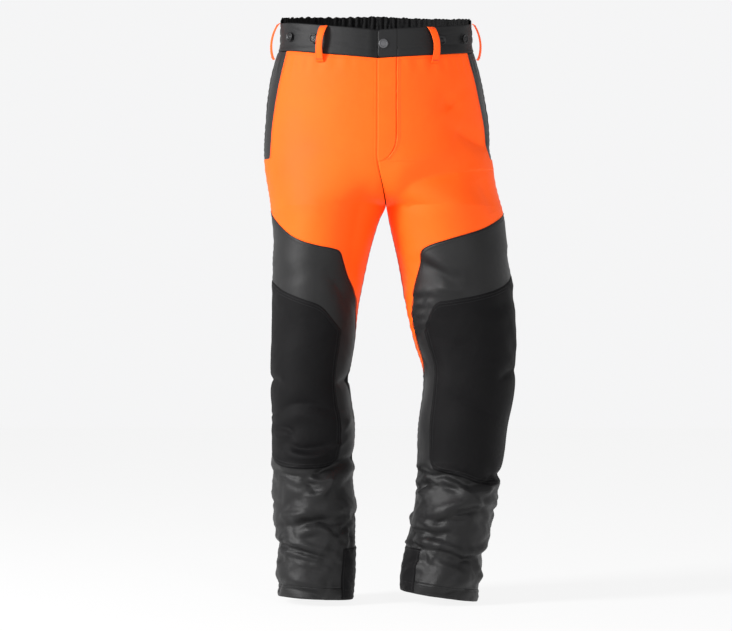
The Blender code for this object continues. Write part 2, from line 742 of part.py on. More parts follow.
def zip_chain(side):
    """One row of the zip's teeth: a comb on the edge of its tape."""
    outline = []
    count = int((ZIP_HIGH - ZIP_LOW) / TOOTH_PITCH)
    for k in range(count):
        z = ZIP_LOW + k * TOOTH_PITCH
        for reach, share in ((1.9, 0.0), (0.9, 0.25), (0.9, 0.65), (1.9, 0.9)):
            outline.append((reach, z + share * TOOTH_PITCH))
    outline += [(3.2, outline[-1][1]), (3.2, ZIP_LOW)]
    bm = bmesh.new()
    rings = [
        [bm.verts.new(zip_point(side * x * MM, depth * MM, z)) for x, z in outline]
        for depth in (5.7, 6.6)
    ]
    bm.faces.new(rings[0])
    bm.faces.new(rings[1])
    for k in range(len(outline)):
        n = (k + 1) % len(outline)
        bm.faces.new((rings[0][k], rings[0][n], rings[1][n], rings[1][k]))
    add_object("zip_chain_" + SIDE_NAMES[side], bm, "zip_plastic")


SLIDER_OUTLINE = (
    (-5.0, 4.2), (5.0, 4.2), (5.0, 6.3), (4.0, 6.3), (4.0, 5.3), (0.5, 5.3), (0.5, 7.9),
    (4.5, 7.9), (4.5, 8.9), (-4.5, 8.9), (-4.5, 7.9), (-0.5, 7.9), (-0.5, 5.3), (-4.0, 5.3),
    (-4.0, 6.3), (-5.0, 6.3),
)
SLIDER_LENGTH = 0.010
PULL_LENGTH = 0.024


def zip_set():
    """Tapes, teeth, bottom stop, slider and pull, all behind the flap, and the shield behind them."""
    for side in (RIGHT, LEFT):
        tape = sorted((side * 1.2 * MM, side * 11.5 * MM))
        span = (ZIP_LOW - 0.008, ZIP_HIGH + 0.003)
        zip_block("zip_tape_" + SIDE_NAMES[side], tape, (6.9 * MM, 7.5 * MM), span, "zip_tape")
        zip_chain(side)
    stop = (ZIP_LOW - 0.005, ZIP_LOW - 0.001)
    zip_block("zip_bottom_stop", (-3.0 * MM, 3.0 * MM), (5.5 * MM, 6.6 * MM), stop, "zip_plastic")

    top = ZIP_HIGH - 0.001
    body = (top - SLIDER_LENGTH, top)
    pivot_z = top - 0.003
    slider = zip_extrusion("zip_slider", SLIDER_OUTLINE, body, "slider_metal", zip_point(0, 4.2 * MM, top))
    lug = zip_block("slider_lug", (-1.2 * MM, 1.2 * MM), (2.4 * MM, 4.6 * MM),
                    (pivot_z - 1.0 * MM, pivot_z + 1.0 * MM), "slider_metal")
    combine(slider, lug, "UNION")
    pull_span = (pivot_z - PULL_LENGTH, pivot_z + 3.2 * MM)
    pivot = zip_point(0.0, 3.0 * MM, pivot_z)
    wide, thick = (-3.2 * MM, 3.2 * MM), (2.5 * MM, 3.5 * MM)
    pull = zip_block("zip_pull", wide, thick, pull_span, "slider_metal", pivot)
    eye = zip_block("pull_eye", (-1.9 * MM, 1.9 * MM), (0.0, 6.0 * MM),
                    (pivot_z - 1.9 * MM, pivot_z + 1.9 * MM), "slider_metal")
    combine(pull, eye, "DIFFERENCE")

    columns = evenly(-0.005, FLY_WIDTH + 0.002, 5)
    rows = evenly(FLY_LOW + 0.004, ZIP_HIGH + 0.004, 5)

    def grid(depth):
        return [[front_point(x, z, depth) for z in rows] for x in columns]

    closed_sheet("fly_shield", grid(9.6 * MM + ZIP_SETBACK), grid(10.6 * MM + ZIP_SETBACK), "lining_cloth")


# ---------------------------------------------------------------- back pocket and ruler pocket

POCKET_SHARES = (0.655, 0.905)
POCKET_HEIGHTS = (0.752, 0.896)
FLAP_HEIGHTS = (0.842, 0.908)
FLAP_SNAP_SHARE = 0.780


def back_pocket():
    """Patch pocket on the right seat, its flap, and the snap that holds the flap down."""
    low, high = POCKET_HEIGHTS
    shares = [POCKET_SHARES[0]] + [t for t in BACK_SHARES if 0.66 < t < 0.90] + [POCKET_SHARES[1]]

    def floor(t):
        """The pocket's lower corners are cut off."""
        edge = abs(2.0 * (t - POCKET_SHARES[0]) / (POCKET_SHARES[1] - POCKET_SHARES[0]) - 1.0)
        return low + 0.022 * max(0.0, edge - 0.70) / 0.30

    def rows(t):
        return [floor(t), 0.790, 0.830, 0.870, high]

    half_panel("back_pocket", RIGHT, shares, rows, PATCH, "back_cloth")
    normal = outward(RIGHT, FLAP_SNAP_SHARE, 0.860)
    stud_face = layer(RIGHT, FLAP_SNAP_SHARE, 0.860, PATCH[0] - 0.5 * MM)
    turned("pocket_snap_stud", in_metres(((0.0, 0.0), (4.0, 0.0), (4.0, 0.4), (0.0, 0.4))),
           stud_face, normal, "snap_metal")

    hinge = layer(RIGHT, FLAP_SNAP_SHARE, FLAP_HEIGHTS[1], POCKET_FLAP[0])
    wider = [POCKET_SHARES[0] - 0.006] + shares[1:-1] + [POCKET_SHARES[1] + 0.006]

    def drop(t):
        """The flap's lower edge comes to a blunt point in the middle."""
        edge = abs(2.0 * (t - POCKET_SHARES[0]) / (POCKET_SHARES[1] - POCKET_SHARES[0]) - 1.0)
        return FLAP_HEIGHTS[0] + 0.012 * edge

    def grid(depth):
        return [[layer(RIGHT, t, z, depth) for z in (drop(t), 0.870, FLAP_HEIGHTS[1])] for t in wider]

    closed_sheet("pocket_flap", grid(POCKET_FLAP[0]), grid(POCKET_FLAP[1]), "back_cloth", origin=hinge)
    cap_face = layer(RIGHT, FLAP_SNAP_SHARE, 0.860, POCKET_FLAP[0] - 0.7 * MM)
    turned("flap_snap_cap", in_metres(((0.0, 0.0), (6.0, 0.0), (6.0, 0.7), (5.0, 1.3), (0.0, 1.3))),
           cap_face, normal, "snap_metal", hinge)


def ruler_pocket():
    """Narrow patch pocket for a folding rule, on the right thigh behind the side seam."""
    shares = [0.545, 0.590, 0.640, 0.665]

    def rows(t):
        return [0.500, 0.520, 0.590, 0.660, 0.690]

    half_panel("ruler_pocket", RIGHT, shares, rows, PATCH, "back_cloth")


# ---------------------------------------------------------------- build

PALETTE = (
    ("orange_cloth", (0.95, 0.16, 0.02), 0.75, 0.0),
    ("grey_cloth", (0.060, 0.060, 0.062), 0.55, 0.0),
    ("black_cloth", (0.014, 0.013, 0.014), 0.80, 0.0),
    ("back_cloth", (0.030, 0.030, 0.032), 0.70, 0.0),
    ("band_cloth", (0.035, 0.035, 0.036), 0.75, 0.0),
    ("elastic_band", (0.008, 0.008, 0.009), 0.85, 0.0),
    ("lining_cloth", (0.045, 0.045, 0.050), 0.90, 0.0),
    ("guard_fibre", (0.75, 0.75, 0.70), 0.95, 0.0),
    ("snap_metal", (0.13, 0.13, 0.13), 0.45, 1.0),
    ("button_metal", (0.02, 0.02, 0.02), 0.40, 1.0),
    ("zip_tape", (0.015, 0.015, 0.016), 0.90, 0.0),
    ("zip_plastic", (0.012, 0.012, 0.012), 0.45, 0.0),
    ("slider_metal", (0.08, 0.08, 0.08), 0.40, 1.0),
)

for slot, colour, roughness, metallic in PALETTE:
    material(slot, colour, roughness, metallic)

for side in (RIGHT, LEFT):
    front_upper(side)
    front_leg(side)
    knee_patch(side)
    ankle_patch(side)
    hem_band(side)
    back_panels(side)
    pocket(side)
    guard_pad(side)
    lining(side)
    which = SIDE_NAMES[side]
    for place, offset in (("outer", OUTER_BUTTON_OFFSET), ("inner", INNER_BUTTON_OFFSET)):
        brace_button(f"brace_button_{place}_{which}", side, t_at(side, 1.0, offset))
    brace_button(f"brace_button_back_{which}", side, BACK_BUTTON_SHARE)
    belt_loop(f"belt_loop_front_{which}", side, t_at(side, 1.0, FRONT_LOOP_OFFSET))
    belt_loop(f"belt_loop_side_{which}", side, SIDE_LOOP_SHARE)
    belt_loop(f"belt_loop_back_{which}", side, BACK_LOOP_SHARE)
belt_loop("belt_loop_back_centre", RIGHT, 0.9995)

combine(bpy.data.objects["front_upper_left"], fly_cutter(), "DIFFERENCE")
front_band_right()
front_band_left()
back_band()
fly_flap()
snap(end_tab())
zip_set()
back_pocket()
ruler_pocket()
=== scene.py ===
"""Looks of the chainsaw protective trousers: sewn cloth panels, patches, stitching, trims and studio.

Everything is built on the same surface as the CAD: a point is named by the leg (side), the share of
the way round it (t), a height above the hems (z) and a depth under the outer face. Folds are one
field of shifts over columns round the leg and heights, and every layer follows the same field.
"""

import math

import bmesh
import bpy
import json
import numpy as np
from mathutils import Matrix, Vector

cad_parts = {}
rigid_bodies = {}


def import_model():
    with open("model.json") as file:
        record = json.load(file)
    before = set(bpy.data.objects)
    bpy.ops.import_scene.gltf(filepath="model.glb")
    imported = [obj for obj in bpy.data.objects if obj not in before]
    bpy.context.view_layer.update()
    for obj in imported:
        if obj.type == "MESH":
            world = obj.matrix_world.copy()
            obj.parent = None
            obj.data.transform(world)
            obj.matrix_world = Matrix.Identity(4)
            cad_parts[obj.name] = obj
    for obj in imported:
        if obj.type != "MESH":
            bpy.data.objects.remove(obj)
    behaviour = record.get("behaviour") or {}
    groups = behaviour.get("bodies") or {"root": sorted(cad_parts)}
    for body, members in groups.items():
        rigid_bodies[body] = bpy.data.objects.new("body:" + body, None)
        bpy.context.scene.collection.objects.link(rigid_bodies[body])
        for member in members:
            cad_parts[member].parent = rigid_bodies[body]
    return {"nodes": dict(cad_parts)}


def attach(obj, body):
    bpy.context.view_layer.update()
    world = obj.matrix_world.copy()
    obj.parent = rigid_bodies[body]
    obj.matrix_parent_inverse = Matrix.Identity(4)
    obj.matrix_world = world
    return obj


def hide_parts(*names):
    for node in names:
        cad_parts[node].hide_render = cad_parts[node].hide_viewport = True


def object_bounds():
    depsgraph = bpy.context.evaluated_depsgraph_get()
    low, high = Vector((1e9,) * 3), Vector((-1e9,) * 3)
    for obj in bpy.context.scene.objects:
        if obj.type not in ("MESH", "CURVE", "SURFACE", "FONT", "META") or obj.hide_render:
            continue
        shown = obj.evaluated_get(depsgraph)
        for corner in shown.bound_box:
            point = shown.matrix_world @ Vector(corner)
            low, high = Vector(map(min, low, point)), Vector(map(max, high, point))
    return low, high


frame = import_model()
cad_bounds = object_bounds()

MM = 0.001
RIGHT = -1
LEFT = 1
SIDE_NAMES = {RIGHT: "right", LEFT: "left"}

# ---------------------------------------------------------------- the garment's surface, as in the CAD

CROTCH_HEIGHT = 0.712
FORK_RISE = 0.110
WAIST_CENTRE = np.array((-0.024, 0.0, 1.018))
SIDE_SEAM_TOP = 0.991
BAND_HEIGHT = 0.050
HEM_BAND_HEIGHT = 0.021
POCKET_FLOOR = 0.7965
KNEE_SEAM_HEIGHT = 0.400
BAND_SPLIT = 0.47
FLY_WIDTH = 0.033
FLY_LOW = 0.786
FLY_CURVE = 0.046
HINGE_OFFSET = 0.034
SNAP_OFFSET = 0.0105
FRONT_LOOP_OFFSET = 0.0930
OUTER_BUTTON_OFFSET = 0.1530
INNER_BUTTON_OFFSET = 0.1110
SIDE_LOOP_SHARE = 0.480
BACK_LOOP_SHARE = 0.740
BACK_BUTTON_SHARE = 0.930

SEAM_LINE = {
    RIGHT: ((0.0, 0.9675), (0.18, 0.9775), (0.34, 0.9865), (0.50, 0.9915), (0.75, 1.004), (1.0, 1.012)),
    LEFT: ((0.0, 0.9675), (0.18, 0.9750), (0.34, 0.9825), (0.50, 0.9905), (0.75, 1.004), (1.0, 1.012)),
}
BAND_EXTRA = ((0.47, 0.0), (0.53, 0.009), (0.62, 0.008), (0.85, 0.004), (1.0, 0.003))

OUTER_EDGE = {
    RIGHT: (
        (0.000, -0.2005), (0.050, -0.2045), (0.110, -0.2030), (0.180, -0.2100), (0.300, -0.2135),
        (0.534, -0.2133), (0.640, -0.2115), (0.712, -0.2170), (0.793, -0.2275), (0.850, -0.2270),
        (0.922, -0.2187), (0.966, -0.2100), (0.985, -0.2045), (1.000, -0.1980), (1.080, -0.1970),
    ),
    LEFT: (
        (0.000, 0.1557), (0.058, 0.1640), (0.145, 0.1810), (0.231, 0.1971), (0.318, 0.2115),
        (0.404, 0.2245), (0.480, 0.2235), (0.620, 0.2130), (0.712, 0.2000), (0.793, 0.1863),
        (0.879, 0.1755), (0.922, 0.1670), (0.966, 0.1565), (0.985, 0.1510), (1.000, 0.1460),
        (1.080, 0.1450),
    ),
}
INNER_EDGE = {
    RIGHT: (
        (0.000, -0.0690), (0.050, -0.0650), (0.166, -0.0625), (0.231, -0.0690), (0.310, -0.0645),
        (0.404, -0.0730), (0.470, -0.0640), (0.534, -0.0560), (0.620, -0.0369), (0.685, -0.0185),
        (0.712, -0.0083),
    ),
    LEFT: (
        (0.000, 0.0185), (0.058, 0.0200), (0.145, 0.0385), (0.210, 0.0475), (0.310, 0.0490),
        (0.410, 0.0590), (0.469, 0.0423), (0.534, 0.0279), (0.620, 0.0117), (0.685, -0.0030),
        (0.712, -0.0077),
    ),
}
FRONT_LINE = (
    (0.000, -0.070), (0.100, -0.073), (0.270, -0.078), (0.404, -0.086), (0.534, -0.096),
    (0.620, -0.104), (0.712, -0.1150), (0.790, -0.1225), (0.880, -0.1208), (0.966, -0.1192),
    (1.020, -0.1182), (1.080, -0.1172),
)
BACK_LINE = (
    (0.000, 0.078), (0.100, 0.082), (0.270, 0.088), (0.404, 0.080), (0.534, 0.092),
    (0.620, 0.104), (0.712, 0.124), (0.790, 0.144), (0.880, 0.139), (0.966, 0.124),
    (1.010, 0.1175), (1.080, 0.1165),
)
CENTRE_LINE = ((0.712, -0.008), (0.745, -0.015), (0.790, -0.024), (0.830, -0.024), (1.080, -0.024))
HEM_LINE = {RIGHT: (0.007, -0.069, -0.045), LEFT: (0.023, 0.019, -0.146)}
HEM_DROP = 0.045
PANEL_EDGE = {
    RIGHT: (
        (0.000, 0.409), (0.020, 0.455), (0.048, 0.528), (0.088, 0.557), (0.130, 0.583),
        (0.160, 0.608), (0.182, 0.627), (0.210, 0.6335), (0.260, 0.639), (0.320, 0.6485),
        (0.380, 0.664), (0.440, 0.685), (0.500, 0.706),
    ),
    LEFT: (
        (0.000, 0.405), (0.030, 0.428), (0.050, 0.462), (0.066, 0.502), (0.098, 0.560),
        (0.134, 0.602), (0.150, 0.626), (0.170, 0.6365), (0.240, 0.650), (0.340, 0.668),
        (0.420, 0.686), (0.500, 0.701),
    ),
}
PATCH_TOP = {
    RIGHT: (
        (0.136, 0.489), (0.170, 0.505), (0.228, 0.533), (0.293, 0.5455), (0.375, 0.560), (0.480, 0.580),
    ),
    LEFT: (
        (0.112, 0.488), (0.140, 0.512), (0.176, 0.538), (0.215, 0.543), (0.300, 0.552),
        (0.400, 0.568), (0.480, 0.587),
    ),
}
PATCH_BOTTOM = {
    RIGHT: (
        (0.136, 0.262), (0.170, 0.249), (0.260, 0.245), (0.340, 0.247), (0.400, 0.252), (0.480, 0.266),
    ),
    LEFT: (
        (0.112, 0.262), (0.150, 0.243), (0.250, 0.231), (0.330, 0.218), (0.400, 0.215), (0.480, 0.220),
    ),
}


KICK_SHARE, KICK_TOP = 0.130, 0.102


def follow(stations, where):
    """Values of a smooth curve through (place, value) stations."""
    places = np.array([station[0] for station in stations])
    values = np.array([station[1] for station in stations])
    last = len(stations) - 1
    where = np.clip(np.asarray(where, float), places[0], places[-1])
    i = np.clip(np.searchsorted(places, where, side="right") - 1, 0, last - 1)
    k = np.arange(last + 1)
    low, high = np.maximum(k - 1, 0), np.minimum(k + 1, last)
    slopes = (values[high] - values[low]) / (places[high] - places[low])
    span = places[i + 1] - places[i]
    s = (where - places[i]) / span
    start = (1 + 2 * s) * (1 - s) ** 2 * values[i] + s * (1 - s) ** 2 * span * slopes[i]
    end = s * s * (3 - 2 * s) * values[i + 1] + s * s * (s - 1) * span * slopes[i + 1]
    return start + end


def smooth(low, high, x):
    """0 below low, 1 above high, and smooth between them."""
    s = np.clip((np.asarray(x, float) - low) / (high - low), 0.0, 1.0)
    return s * s * (3.0 - 2.0 * s)


def section(side, z):
    """Centre x, centre y, half width, half depth and start angle of one half's outline."""
    outer = follow(OUTER_EDGE[side], z)
    front, back = follow(FRONT_LINE, z), follow(BACK_LINE, z)
    rise = np.clip((z - CROTCH_HEIGHT) / FORK_RISE, 0.0, 1.0)
    start = 0.5 * math.pi * np.sqrt(1.0 - (1.0 - rise) ** 2)
    inner = np.where(
        z < CROTCH_HEIGHT,
        follow(INNER_EDGE[side], z),
        follow(CENTRE_LINE, z) + side * 0.15 * MM,
    )
    half_width = np.abs(outer - inner) / (1.0 + np.cos(start))
    return outer - side * half_width, 0.5 * (front + back), half_width, 0.5 * (back - front), start


def layer(side, t, z, depth=0.0):
    """Points of one half before folding, the given depth inside its outer surface."""
    t, z = np.broadcast_arrays(np.asarray(t, float), np.asarray(z, float))
    centre_x, centre_y, half_width, half_depth, start = section(side, z)
    angle = start + t * (2.0 * math.pi - 2.0 * start)
    x = centre_x - side * (half_width - depth) * np.cos(angle)
    y = centre_y - (half_depth - depth) * np.sin(angle)
    return np.stack((x, y, z), axis=-1)


def outward(side, t, z):
    """Unit normals of the unfolded surface, pointing out."""
    step = 0.002
    around = layer(side, t + step, z) - layer(side, t - step, z)
    upward = layer(side, t, z + step) - layer(side, t, z - step)
    normal = np.cross(around, upward) * side
    return normal / np.linalg.norm(normal, axis=-1, keepdims=True)


def t_at(side, z, offset):
    """The t at which the front surface stands this far from the centre line."""
    centre_x, _, half_width, _, start = section(side, np.asarray(z, float))
    x = follow(CENTRE_LINE, z) + side * offset
    cosine = np.clip(side * (centre_x - x) / half_width, -1.0, 1.0)
    return (np.arccos(cosine) - start) / (2.0 * math.pi - 2.0 * start)


def seam_height(side, t):
    """Height of the waist seam."""
    return follow(SEAM_LINE[side], t)


def seam_by_offset(offset):
    """Height of the waist seam this far from the centre line, on the wearer's left."""
    return seam_height(LEFT, t_at(LEFT, SIDE_SEAM_TOP, offset))


def band_height(t):
    """The band is a little taller from the sides to the back."""
    return BAND_HEIGHT + follow(BAND_EXTRA, t)


def hem_height(side, t):
    """Height of the leg's lower edge."""
    height, at_x, slope = HEM_LINE[side]
    place = layer(side, t, 0.01)
    return height + slope * (place[..., 0] - at_x) - HEM_DROP * place[..., 1]


def start_angle(z):
    """Angle at which one half's outline starts at a height."""
    rise = np.clip((z - CROTCH_HEIGHT) / FORK_RISE, 0.0, 1.0)
    return 0.5 * math.pi * np.sqrt(1.0 - (1.0 - rise) ** 2)


def share_of_column(column, z):
    """Share round one half of a column that runs smoothly on from the leg through the fork."""
    start = start_angle(z)
    near = np.minimum(column, 1.0 - column)
    angle = np.sqrt((2.0 * math.pi * near) ** 2 + start**2 * (1.0 - 4.0 * near**2))
    share = (angle - start) / (2.0 * math.pi - 2.0 * start)
    return np.where(column <= 0.5, share, 1.0 - share)


def column_of_share(t, z):
    """The column on which a share lies at a height."""
    start = start_angle(z)
    near = np.minimum(t, 1.0 - t)
    angle = start + near * (2.0 * math.pi - 2.0 * start)
    column = np.sqrt(np.maximum(angle**2 - start**2, 0.0) / (4.0 * math.pi**2 - 4.0 * start**2))
    return np.where(t <= 0.5, column, 1.0 - column)


# ---------------------------------------------------------------- folds

FIELD_COLUMNS = np.linspace(0.0, 1.0, 301)
FIELD_Z = np.linspace(-0.01, 1.07, 451)

# Folds on the front, as seen from straight ahead: points (x, height) in millimetres, half width
# and lift in millimetres (a negative lift is a valley), and the side on which a ridge lies along it.
FRONT_FOLDS = {
    RIGHT: (
        (((-206, 240), (-181, 234), (-152, 225), (-135, 207)), 6, -4.0, 1),
        (((-185, 243), (-140, 242)), 4, -2.2, 1),
        (((-149, 233), (-130, 236), (-118, 242), (-95, 251), (-70, 262)), 8, -6.0, -1),
        (((-133, 224), (-133, 214)), 13, -5.0, 0),
        (((-108, 233), (-110, 217), (-124, 202), (-149, 198)), 6, 3.6, 0),
        (((-100, 222), (-165, 160)), 22, 4.0, 0),
        (((-190, 141), (-149, 149), (-102, 157), (-70, 160)), 9, -5.0, 1),
        (((-93, 129), (-72, 138), (-69, 116), (-73, 104)), 4, -3.0, -1),
        (((-206, 110), (-156, 97), (-105, 82)), 6, -4.2, 1),
        (((-187, 90), (-149, 81), (-111, 75)), 4, -2.6, 1),
        (((-147, 69), (-123, 62)), 6, -2.5, 1),
        (((-155, 122), (-125, 128)), 6, -2.0, 1),
        (((-189, 34), (-148, 26), (-118, 18)), 8, -3.6, 1),
        (((-171, 274), (-140, 267), (-111, 277), (-80, 296)), 6, 3.4, 0),
        (((-181, 292), (-156, 280), (-111, 286)), 8, -4.0, -1),
        (((-206, 321), (-181, 315), (-172, 302)), 6, -3.2, -1),
        (((-197, 346), (-172, 359), (-140, 359), (-108, 352)), 10, -3.0, -1),
        (((-73, 334), (-89, 309)), 8, 3.0, 0),
        (((-60, 406), (-92, 396)), 9, -4.0, 0),
        (((-222, 404), (-195, 398)), 8, -4.0, 0),
        (((-10, 775), (-44, 722), (-58, 662), (-66, 600)), 26, -5.0, 0),
        (((-205, 700), (-180, 660)), 20, -2.0, 0),
        (((-120, 600), (-88, 560), (-80, 520)), 18, -2.6, 0),
    ),
    LEFT: (
        (((60, 238), (75, 231), (97, 234), (119, 225), (135, 215)), 6, -4.2, 1),
        (((50, 206), (56, 210), (62, 219), (78, 212)), 4, -3.4, 1),
        (((92, 214), (122, 207)), 5, -3.0, 1),
        (((138, 215), (166, 221), (200, 233)), 7, -5.0, -1),
        (((140, 208), (97, 158)), 18, 4.0, 0),
        (((97, 157), (119, 166), (154, 171), (186, 168)), 8, -4.6, 1),
        (((75, 149), (104, 155)), 5, -2.8, 1),
        (((107, 152), (132, 154)), 4, -2.2, 1),
        (((46, 137), (72, 131), (104, 130)), 6, -4.2, 1),
        (((66, 125), (91, 122)), 4, -2.4, 1),
        (((44, 104), (91, 97), (119, 87), (135, 81), (178, 90)), 6, -4.6, 1),
        (((40, 122), (37, 112), (50, 106)), 4, -2.6, -1),
        (((104, 91), (71, 21)), 16, 3.0, 0),
        (((69, 24), (104, 21), (150, 33)), 8, -3.6, 1),
        (((48, 612), (87, 593), (111, 579)), 8, -2.8, 1),
        (((84, 566), (120, 559)), 8, 2.4, 0),
        (((38, 547), (71, 549)), 5, -2.0, 1),
        (((40, 528), (68, 530)), 4, -1.8, 1),
        (((38, 512), (66, 510)), 4, -1.8, 1),
        (((42, 490), (68, 497)), 4, -1.6, 1),
        (((10, 726), (48, 753), (85, 765), (120, 770)), 20, -4.0, 1),
        (((96, 900), (112, 884)), 18, -5.0, 0),
        (((118, 846), (176, 818)), 18, -7.0, 0),
        (((160, 760), (186, 700)), 18, -3.0, 0),
        (((118, 368), (160, 352), (190, 330)), 14, -3.0, 0),
        (((225, 420), (196, 405)), 8, -3.6, 0),
        (((110, 470), (150, 452)), 16, -2.0, 0),
    ),
}


def smooth_path(points, count):
    """Points along a smooth curve through the given ones."""
    points = np.array(points, float)
    places = np.linspace(0.0, 1.0, len(points))
    along = np.linspace(0.0, 1.0, count)
    return np.stack([follow(list(zip(places, points[:, k])), along) for k in range(points.shape[1])], -1)


def fold_lift(u, v, path, width, lift, lean):
    """Lift at plane points (u, v) of one fold along a path: peaked, tapered to its ends."""
    nearest = np.full(u.shape, 1e9)
    signed = np.zeros(u.shape)
    place = np.zeros(u.shape)
    last = len(path) - 1
    for k in range(last):
        a, b = path[k], path[k + 1]
        du, dv = b - a
        length = du * du + dv * dv + 1e-12
        share = np.clip(((u - a[0]) * du + (v - a[1]) * dv) / length, 0.0, 1.0)
        pu, pv = u - a[0] - share * du, v - a[1] - share * dv
        distance = np.hypot(pu, pv)
        closer = distance < nearest
        nearest = np.where(closer, distance, nearest)
        signed = np.where(closer, np.sign(du * pv - dv * pu) * distance, signed)
        place = np.where(closer, (k + share) / last, place)
    taper = np.clip(np.sin(math.pi * np.clip(0.06 + 0.88 * place, 0, 1)), 0, 1) ** 0.5
    crease = np.exp(0.30 - np.sqrt((1.15 * nearest / width) ** 2 + 0.09))
    made = lift * crease
    if lean:
        beside = (signed * lean - 1.9 * width) / (1.3 * width)
        made = made - 0.75 * lift * np.exp(-(beside**2))
    return made * taper * (nearest < 6.0 * width)


# Zones of loose wrinkles: lowest and highest height, share round from and to, how many, lift in mm.
LOOSE_FOLDS = (
    (0.030, 0.250, 0.50, 1.00, 34, 5.5),
    (0.290, 0.500, 0.56, 0.94, 26, 5.5),
    (0.030, 0.225, 0.05, 0.50, 24, 3.2),
    (0.500, 0.700, 0.52, 0.98, 14, 3.4),
    (0.420, 0.660, 0.05, 0.50, 8, 1.2),
    (0.700, 0.960, 0.55, 0.97, 10, 3.0),
    (0.720, 0.960, 0.06, 0.46, 6, 1.2),
)


def random_folds(side, u, v, perimeter):
    """Loose wrinkles, mostly level, denser low on the leg and behind the knee."""
    rng = np.random.default_rng(11 if side == RIGHT else 23)
    made = np.zeros(u.shape)
    for low, high, first, last, count, lift in LOOSE_FOLDS:
        for _ in range(count):
            v0 = rng.uniform(low, high)
            u0 = rng.uniform(first, last) * perimeter
            angle = rng.normal(0.0, 0.42)
            length = rng.uniform(0.035, 0.085)
            width = rng.uniform(0.0045, 0.0095) * (1.0 if high < 0.6 else 1.8)
            bow = rng.normal(0.0, 0.10) * length
            depth = rng.uniform(0.5, 1.0) * lift * MM * (-1.0 if rng.random() < 0.65 else 1.0)
            lean = 1 if rng.random() < 0.5 else -1
            du, dv = 0.5 * length * math.cos(angle), 0.5 * length * math.sin(angle)
            ends = ((u0 - du, v0 - dv), (u0, v0 + bow), (u0 + du, v0 + dv))
            near = (np.abs(u - u0) < length + 6 * width) & (np.abs(v - v0) < length + 6 * width)
            made[near] += fold_lift(u[near], v[near], smooth_path(ends, 7), width, depth, lean)
    return made


def drape_noise(side, u, v):
    """Large soft unevenness, as a sum of a few slanted waves."""
    rng = np.random.default_rng(5 if side == RIGHT else 7)
    made = np.zeros(u.shape)
    for _ in range(14):
        wavelength = rng.uniform(0.07, 0.22)
        angle = rng.uniform(-0.9, 0.9) + (math.pi / 2 if rng.random() < 0.6 else 0.0)
        phase = rng.uniform(0.0, 2.0 * math.pi)
        swing = np.sin(2.0 * math.pi * (u * math.cos(angle) + v * math.sin(angle)) / wavelength + phase)
        made += 0.40 * MM * swing * wavelength / 0.12
    return made


def crumple(side, u, v):
    """Crisp facets between creases, as in light coated cloth: warped waves folded at their peaks."""
    rng = np.random.default_rng(41 if side == RIGHT else 43)
    bend_u = 0.012 * np.sin(v * 52.0 + 1.3) + 0.009 * np.sin(v * 97.0 + u * 40.0)
    bend_v = 0.010 * np.sin(u * 63.0 + 0.4) + 0.007 * np.sin(u * 110.0 - v * 55.0 + 2.0)
    made = np.zeros(u.shape)
    for wavelength, height in ((0.085, 2.8), (0.062, 2.2), (0.047, 1.6), (0.036, 1.0), (0.027, 0.6)):
        angle = rng.normal(math.pi / 2, 0.55)
        phase = rng.uniform(0.0, 1.0)
        place = ((u + bend_u) * math.cos(angle) + (v + bend_v) * math.sin(angle)) / wavelength + phase
        saw = np.abs(2.0 * (place - np.floor(place)) - 1.0)
        swell = 0.6 + 0.4 * np.sin(u * 35.0 + v * 28.0 + 6.0 * phase)
        made += height * MM * (np.sqrt(saw * saw + 0.006) - 0.5) * swell
    return made


def pucker(u, v, distance):
    """Ripples along a seam, strongest on it and gone 12 mm away."""
    ripple = np.sin(2.0 * math.pi * v / 0.0135 + 3.0 * np.sin(v * 61.0) + 2.0 * np.sin(v * 23.0 + u))
    return 0.50 * MM * ripple * np.exp(-((distance / 0.008) ** 2))


FRONT_STRENGTH = {RIGHT: 1.8, LEFT: 1.8}  # how far the drawn folds stand out


